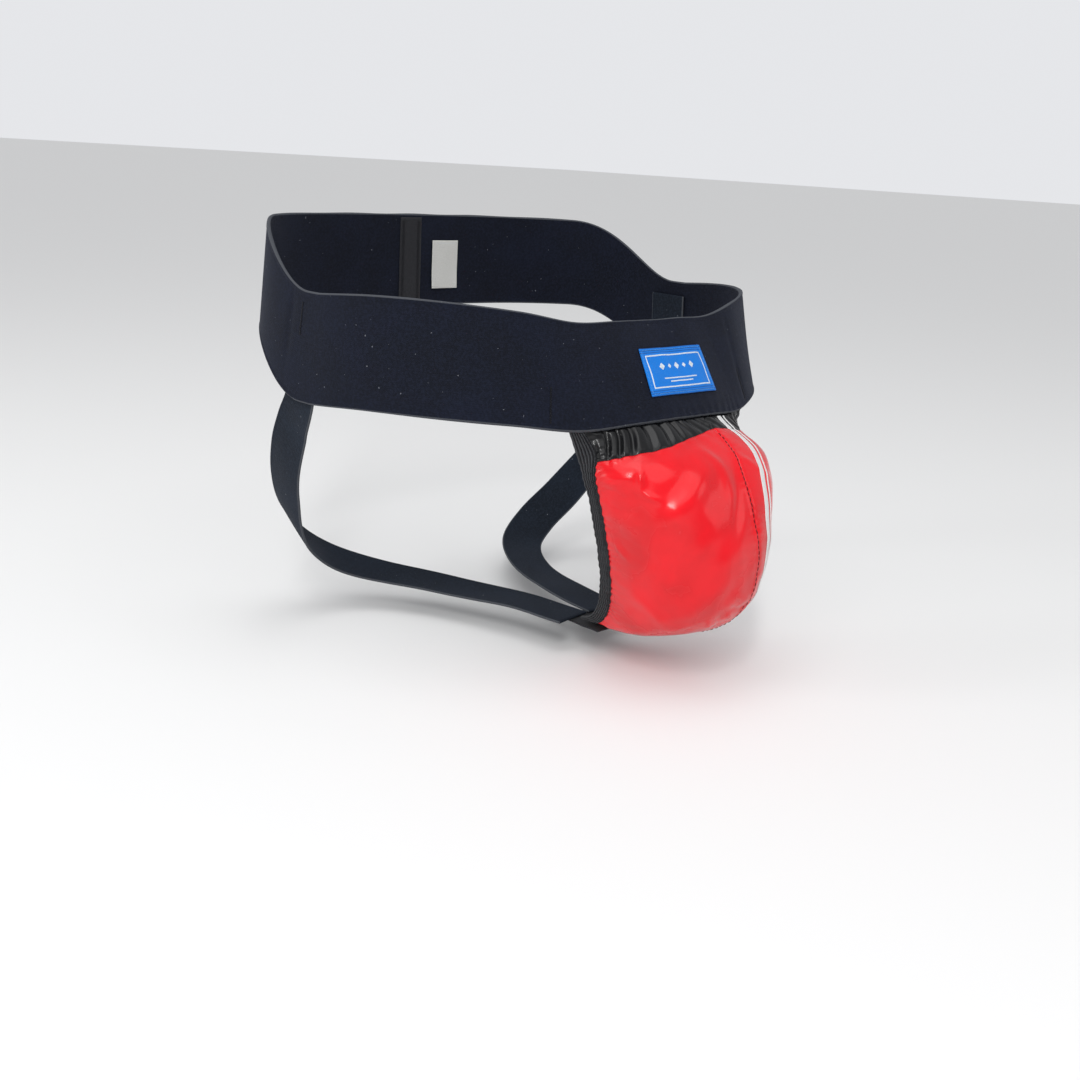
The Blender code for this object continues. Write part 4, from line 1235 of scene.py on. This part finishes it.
def make_seam_stitches():
    up = np.linspace(-0.97, -0.10, 400)
    s = seam_line(up) - 1.7 * MM / row_scale(seam_line(up), up)
    paths = running_stitch(*pouch_skin(s, up), 3.4 * MM, 2.6 * MM, 0.34 * MM)
    seam = threads("panel_seam_stitches", paths, 0.26 * MM, BLACK_THREAD)
    made = [settle(seam, HEM, "black_thread")]
    for word, side in (("right", -1), ("left", 1)):
        up = np.linspace(-0.96, -0.02, 400)
        gap = leg_line(up) + 1.6 * MM / row_scale(side * leg_line(up), up)
        points, facing = pouch_surface(side * gap, up), normals(pouch_surface, side * gap, up)
        paths = zigzag(points + 0.42 * MM * facing, facing, 2.2 * MM, 1.9 * MM, 0.12 * MM)
        tacked = threads(f"leg_stitches_{word}", paths, 0.12 * MM, BLACK_THREAD)
        made.append(settle(tacked, HEM, "black_thread"))
    return made


def inner_layer(name, s, up, depths, material, slot, wave=0.0):
    """A layer inside the pouch, between two depths under its surface."""
    points = pouch_surface(s, up)
    facing = normals(pouch_surface, s, up)
    soft = wave * ripple(arc_of(s), up * POUCH_TALL, 61, 0.03) * smoothstep(0.0, -0.08, up)
    outer = points - (depths[0] + soft)[..., None] * facing
    inner = points - (depths[1] + soft)[..., None] * facing
    piece = thick(name, outer, inner, chart(s, up), material)
    return settle(piece, HEM, slot, name)


def make_pouch_inside():
    up = np.linspace(*SEAM_TAPE_ROWS, 160)[:, None]
    middle = seam_line(up)
    half = SEAM_TAPE_WIDTH / 2 / row_scale(middle, up)
    s = middle + half * np.linspace(-1, 1, 9)[None, :]
    up = np.broadcast_to(up, s.shape)
    inner_layer("panel_seam_tape", s, up, SEAM_TAPE_DEPTH, BLACK_TWILL, "black_twill")
    up = np.linspace(*LINING_ROWS, 150)[:, None]
    share = np.linspace(-1, 1, 121)[None, :]
    s = s_at(arc_of(0.0) + share * (arc_of(leg_line(up)) - arc_of(0.0)))
    s, up = np.broadcast_arrays(s, up)
    lining = inner_layer("pouch_lining", s, up, LINING_DEPTH, LINING, "lining_mesh", 0.16 * MM)
    heights = np.linspace(*GATHER_ROWS, 12)[:, None]
    s = np.linspace(-GATHER_SPREAD, GATHER_SPREAD, 200)[None, :]
    s, up = np.broadcast_arrays(s, heights)
    gather = inner_layer("yoke_gather_elastic", s, up, GATHER_DEPTH, LEG_RIB, "leg_rib")
    return lining, gather


def make_crotch_patch():
    (x0, x1), (y0, y1), (z0, z1) = CROTCH_PATCH
    across, along = np.meshgrid(np.linspace(x1, x0, 49), np.linspace(y0, y1, 46))
    from_edge = np.minimum(np.minimum(across - x0, x1 - across), np.minimum(along - y0, y1 - along))
    sewn = 0.22 * MM * np.exp(-(((from_edge - PATCH_INSET) / (0.9 * MM)) ** 2))
    soft = 0.10 * MM * ripple(across, along, 71, 0.012)
    outer = vectors(across, along, z0 + sewn + soft + 0.12 * MM)
    inner = vectors(across, along, np.full_like(across, z1))
    patch = thick("crotch_patch", outer, inner, np.stack((across, along), axis=-1), WEBBING)
    settle(patch, POUCH, "black_webbing", "crotch_patch")
    corners = rectangle(x0 + PATCH_INSET, x1 - PATCH_INSET, y0 + PATCH_INSET, y1 - PATCH_INSET)
    runs = sides(corners) + [(corners[0], corners[2]), (corners[1], corners[3])]
    paths = []
    t = np.linspace(0, 1, 50)
    for (ax, ay), (bx, by) in runs:
        points = vectors(ax + (bx - ax) * t, ay + (by - ay) * t, np.full_like(t, z0 + 0.22 * MM))
        facing = np.broadcast_to(np.array((0.0, 0.0, -1.0)), points.shape)
        paths += running_stitch(points, facing, 2.4 * MM, 1.9 * MM, 0.2 * MM)
    stitches = threads("crotch_patch_stitches", paths, THREAD_RADIUS, BLACK_THREAD)
    return patch, settle(stitches, POUCH, "black_thread")


# ---------------------------------------------------------------- cup


def cup_layer(name, share, cells, outer_depth, inner_depth, material):
    """A layer of the cup over its rounded outline, between two depths given as functions of x and y.

    Its cells are a little narrower near the outline."""
    even = np.linspace(-1, 1, cells + 1)
    side = np.sin(even * math.pi / 2) * 0.35 + even * 0.65
    x, y = np.meshgrid(side, side)
    s, up = cup_place(share, x, y)
    points = pouch_surface(s, up)
    facing = normals(pouch_surface, s, up)
    outer = points - outer_depth(x, y)[..., None] * facing
    inner = points - inner_depth(x, y)[..., None] * facing
    return thick(name, outer, inner, chart(s, up), material, rounding=0.45)


def reach_of(x, y):
    """From 0 at the cup's middle to 1 at its outline."""
    return np.maximum(np.abs(x), np.abs(y))


def make_cup_shell():
    """The hard shell, thinner at its rim, with its vents drilled square to its face."""

    def outer_depth(x, y):
        return SHELL_DEPTH[0] + 0.5 * MM * smoothstep(0.93, 1.0, reach_of(x, y))

    def inner_depth(x, y):
        return SHELL_DEPTH[1] - 0.4 * MM * smoothstep(0.93, 1.0, reach_of(x, y))

    shell = cup_layer("cup_shell", 1.0, 72, outer_depth, inner_depth, PLASTIC)
    for number, (x, y) in enumerate(VENTS):
        s, up = cup_place(1.0, np.array([x]), np.array([y]))
        out = normals(pouch_surface, s, up)[0]
        middle = pouch_surface(s, up)[0] - out * sum(SHELL_DEPTH) / 2
        bpy.ops.mesh.primitive_cylinder_add(vertices=36, radius=VENT_RADIUS, depth=12 * MM, location=middle)
        drill = bpy.context.object
        drill.rotation_mode = "QUATERNION"
        drill.rotation_quaternion = Vector(out).to_track_quat("Z", "Y")
        cut = shell.modifiers.new(f"vent_{number}", "BOOLEAN")
        cut.operation = "DIFFERENCE"
        cut.solver = "EXACT"
        cut.object = drill
        apply_modifiers(shell)
        bpy.data.meshes.remove(drill.data)
    shell.data.set_sharp_from_angle(angle=math.radians(40))
    return settle(shell, CUP, "cup_plastic", "cup_shell")


def apply_modifiers(piece):
    """Puts the evaluated shape in the piece's own mesh and clears its modifiers."""
    bpy.context.view_layer.update()
    evaluated = piece.evaluated_get(bpy.context.evaluated_depsgraph_get())
    mesh = bpy.data.meshes.new_from_object(evaluated)
    mesh.name = piece.name
    piece.modifiers.clear()
    piece.data = mesh


def make_cup_liner():
    def outer_depth(x, y):
        return np.full_like(x, LINER_DEPTH[0])

    def inner_depth(x, y):
        reach = reach_of(x, y)
        crown = np.sqrt(np.clip(1 - reach**4, 0, 1))
        channel = np.exp(-(((reach - 0.82) / 0.025) ** 2))
        thickness = (LINER_DEPTH[1] - LINER_DEPTH[0]) * (0.32 + 0.68 * crown - 0.28 * channel)
        return LINER_DEPTH[0] + thickness + 0.12 * MM * ripple(x, y, 81, 0.35) * crown

    liner = cup_layer("cup_liner", LINER_SHARE, 90, outer_depth, inner_depth, FOAM)
    return settle(liner, CUP, "cup_foam", "cup_liner")


def make_cup_rim():
    """A soft moulded bead round the cup, a rounded bar bent into a loop."""
    turn = np.linspace(0, 2 * math.pi, 300, endpoint=False)[None, :]
    profile = np.linspace(0, 2 * math.pi, 24, endpoint=False)[:, None]
    bar_x = np.sign(np.cos(profile)) * np.abs(np.cos(profile)) ** 0.55
    bar_y = np.sign(np.sin(profile)) * np.abs(np.sin(profile)) ** 0.55
    share = sum(RIM_SHARES) / 2 + (RIM_SHARES[1] - RIM_SHARES[0]) / 2 * bar_x
    depth = sum(RIM_DEPTH) / 2 - (RIM_DEPTH[1] - RIM_DEPTH[0]) / 2 * bar_y
    depth = depth + 0.35 * MM * np.exp(-(((bar_x + 0.1) / 0.2) ** 2)) * np.sign(bar_y)
    s = CUP_HALF_SPREAD * share * np.cos(turn)
    up = -CUP_MIDDLE + CUP_HALF_HEIGHT * share * np.sin(turn)
    points = pouch_surface(s, up) - np.broadcast_to(depth, s.shape)[..., None] * normals(pouch_surface, s, up)
    rows, columns = s.shape
    index = np.arange(rows * columns).reshape(rows, columns)
    index = np.concatenate((index, index[:1]))
    faces = [tuple(face) for face in quads(index, True)[:, ::-1].tolist()]
    rim = new_object("cup_rim", points.reshape(-1, 3), faces, chart(s, up).reshape(-1, 2), RUBBER)
    return settle(rim, CUP, "cup_rubber", "cup_rim")


# ---------------------------------------------------------------- everything in its place

waistband = make_waistband()
label, label_pieces = make_front_label()
tape, tape_stitches, care_label, care_stitches = make_back_of_band()
bartacks = make_bartacks()
straps = [make_strap(word, side) for word, side in (("right", -1), ("left", 1))]
panels = make_pouch_panels()
leg_elastics = [make_leg_elastic(word, side) for word, side in (("right", -1), ("left", 1))]
stripes = make_stripes()
seam_stitches = make_seam_stitches()
lining, gather_elastic = make_pouch_inside()
crotch_patch, crotch_stitches = make_crotch_patch()
make_cup_shell()
cup_liner = make_cup_liner()
make_cup_rim()

# ---------------------------------------------------------------- floor, light and camera


def make_floor():
    mesh = bpy.data.meshes.new("floor")
    corners = rectangle(-FLOOR_HALF, FLOOR_HALF, -FLOOR_HALF, FLOOR_HALF)
    mesh.from_pydata([(x, y, FLOOR_Z) for x, y in corners], [], [(0, 1, 2, 3)])
    floor = bpy.data.objects.new("floor", mesh)
    bpy.context.scene.collection.objects.link(floor)
    material = bpy.data.materials.new("floor")
    material.use_nodes = True
    shader = material.node_tree.nodes["Principled BSDF"]
    shader.inputs["Base Color"].default_value = (0.83, 0.83, 0.825, 1.0)
    shader.inputs["Roughness"].default_value = 0.85
    mesh.materials.append(material)


def area_light(name, place, size, power):
    """A soft box that faces the object."""
    data = bpy.data.lights.new(name, "AREA")
    data.shape = "RECTANGLE"
    data.size, data.size_y = size
    data.energy = power
    lamp = bpy.data.objects.new(name, data)
    lamp.location = place
    lamp.rotation_mode = "QUATERNION"
    lamp.rotation_quaternion = (Vector(LIT_POINT) - Vector(place)).to_track_quat("-Z", "Y")
    bpy.context.scene.collection.objects.link(lamp)


def make_world():
    """A pale studio sky, brighter where the camera sees it than as a light."""
    world = bpy.data.worlds.new("studio")
    bpy.context.scene.world = world
    world.use_nodes = True
    nodes, links = world.node_tree.nodes, world.node_tree.links
    background = nodes["Background"]
    background.inputs["Color"].default_value = (0.96, 0.97, 1.0, 1.0)
    seen = nodes.new("ShaderNodeLightPath")
    strength = nodes.new("ShaderNodeMapRange")
    strength.inputs["To Min"].default_value = SKY_STRENGTH
    strength.inputs["To Max"].default_value = BACKDROP_STRENGTH
    links.new(seen.outputs["Is Camera Ray"], strength.inputs["Value"])
    links.new(strength.outputs["Result"], background.inputs["Strength"])
    bpy.context.scene.view_settings.view_transform = "Standard"


def make_sky_light():
    """A very wide sun, for the soft shadow under the object."""
    data = bpy.data.lights.new("sky", "SUN")
    data.energy = 1.05
    data.angle = math.radians(70)
    lamp = bpy.data.objects.new("sky", data)
    lamp.rotation_euler = (math.radians(18), math.radians(-14), 0.0)
    bpy.context.scene.collection.objects.link(lamp)


def make_camera():
    turn, tilt, roll = CAMERA_AZIMUTH, CAMERA_ELEVATION, CAMERA_ROLL
    back = Vector((math.sin(turn) * math.cos(tilt), -math.cos(turn) * math.cos(tilt), math.sin(tilt)))
    right = Vector((math.cos(turn), math.sin(turn), 0.0))
    up = back.cross(right)
    rolled_right = math.cos(roll) * right + math.sin(roll) * up
    rolled_up = math.cos(roll) * up - math.sin(roll) * right
    data = bpy.data.cameras.new("camera")
    data.lens = CAMERA_LENS
    data.sensor_width = 36.0
    data.clip_start = 0.01
    camera = bpy.data.objects.new("camera", data)
    frame_axes = Matrix((rolled_right, rolled_up, back)).transposed().to_4x4()
    camera.matrix_world = Matrix.Translation(CAMERA_PLACE) @ frame_axes
    bpy.context.scene.collection.objects.link(camera)
    bpy.context.scene.camera = camera


make_floor()
make_world()
area_light("key", (-1.1, -1.0, 0.95), (0.14, 0.95), 12.0)
area_light("fill", (0.9, -1.5, 0.6), (0.8, 0.8), 2.0)
area_light("overhead", (-0.1, 0.1, 1.6), (1.2, 0.9), 3.0)
area_light("side", (-1.4, 0.6, 0.35), (0.4, 1.0), 6.0)
make_sky_light()
make_camera()
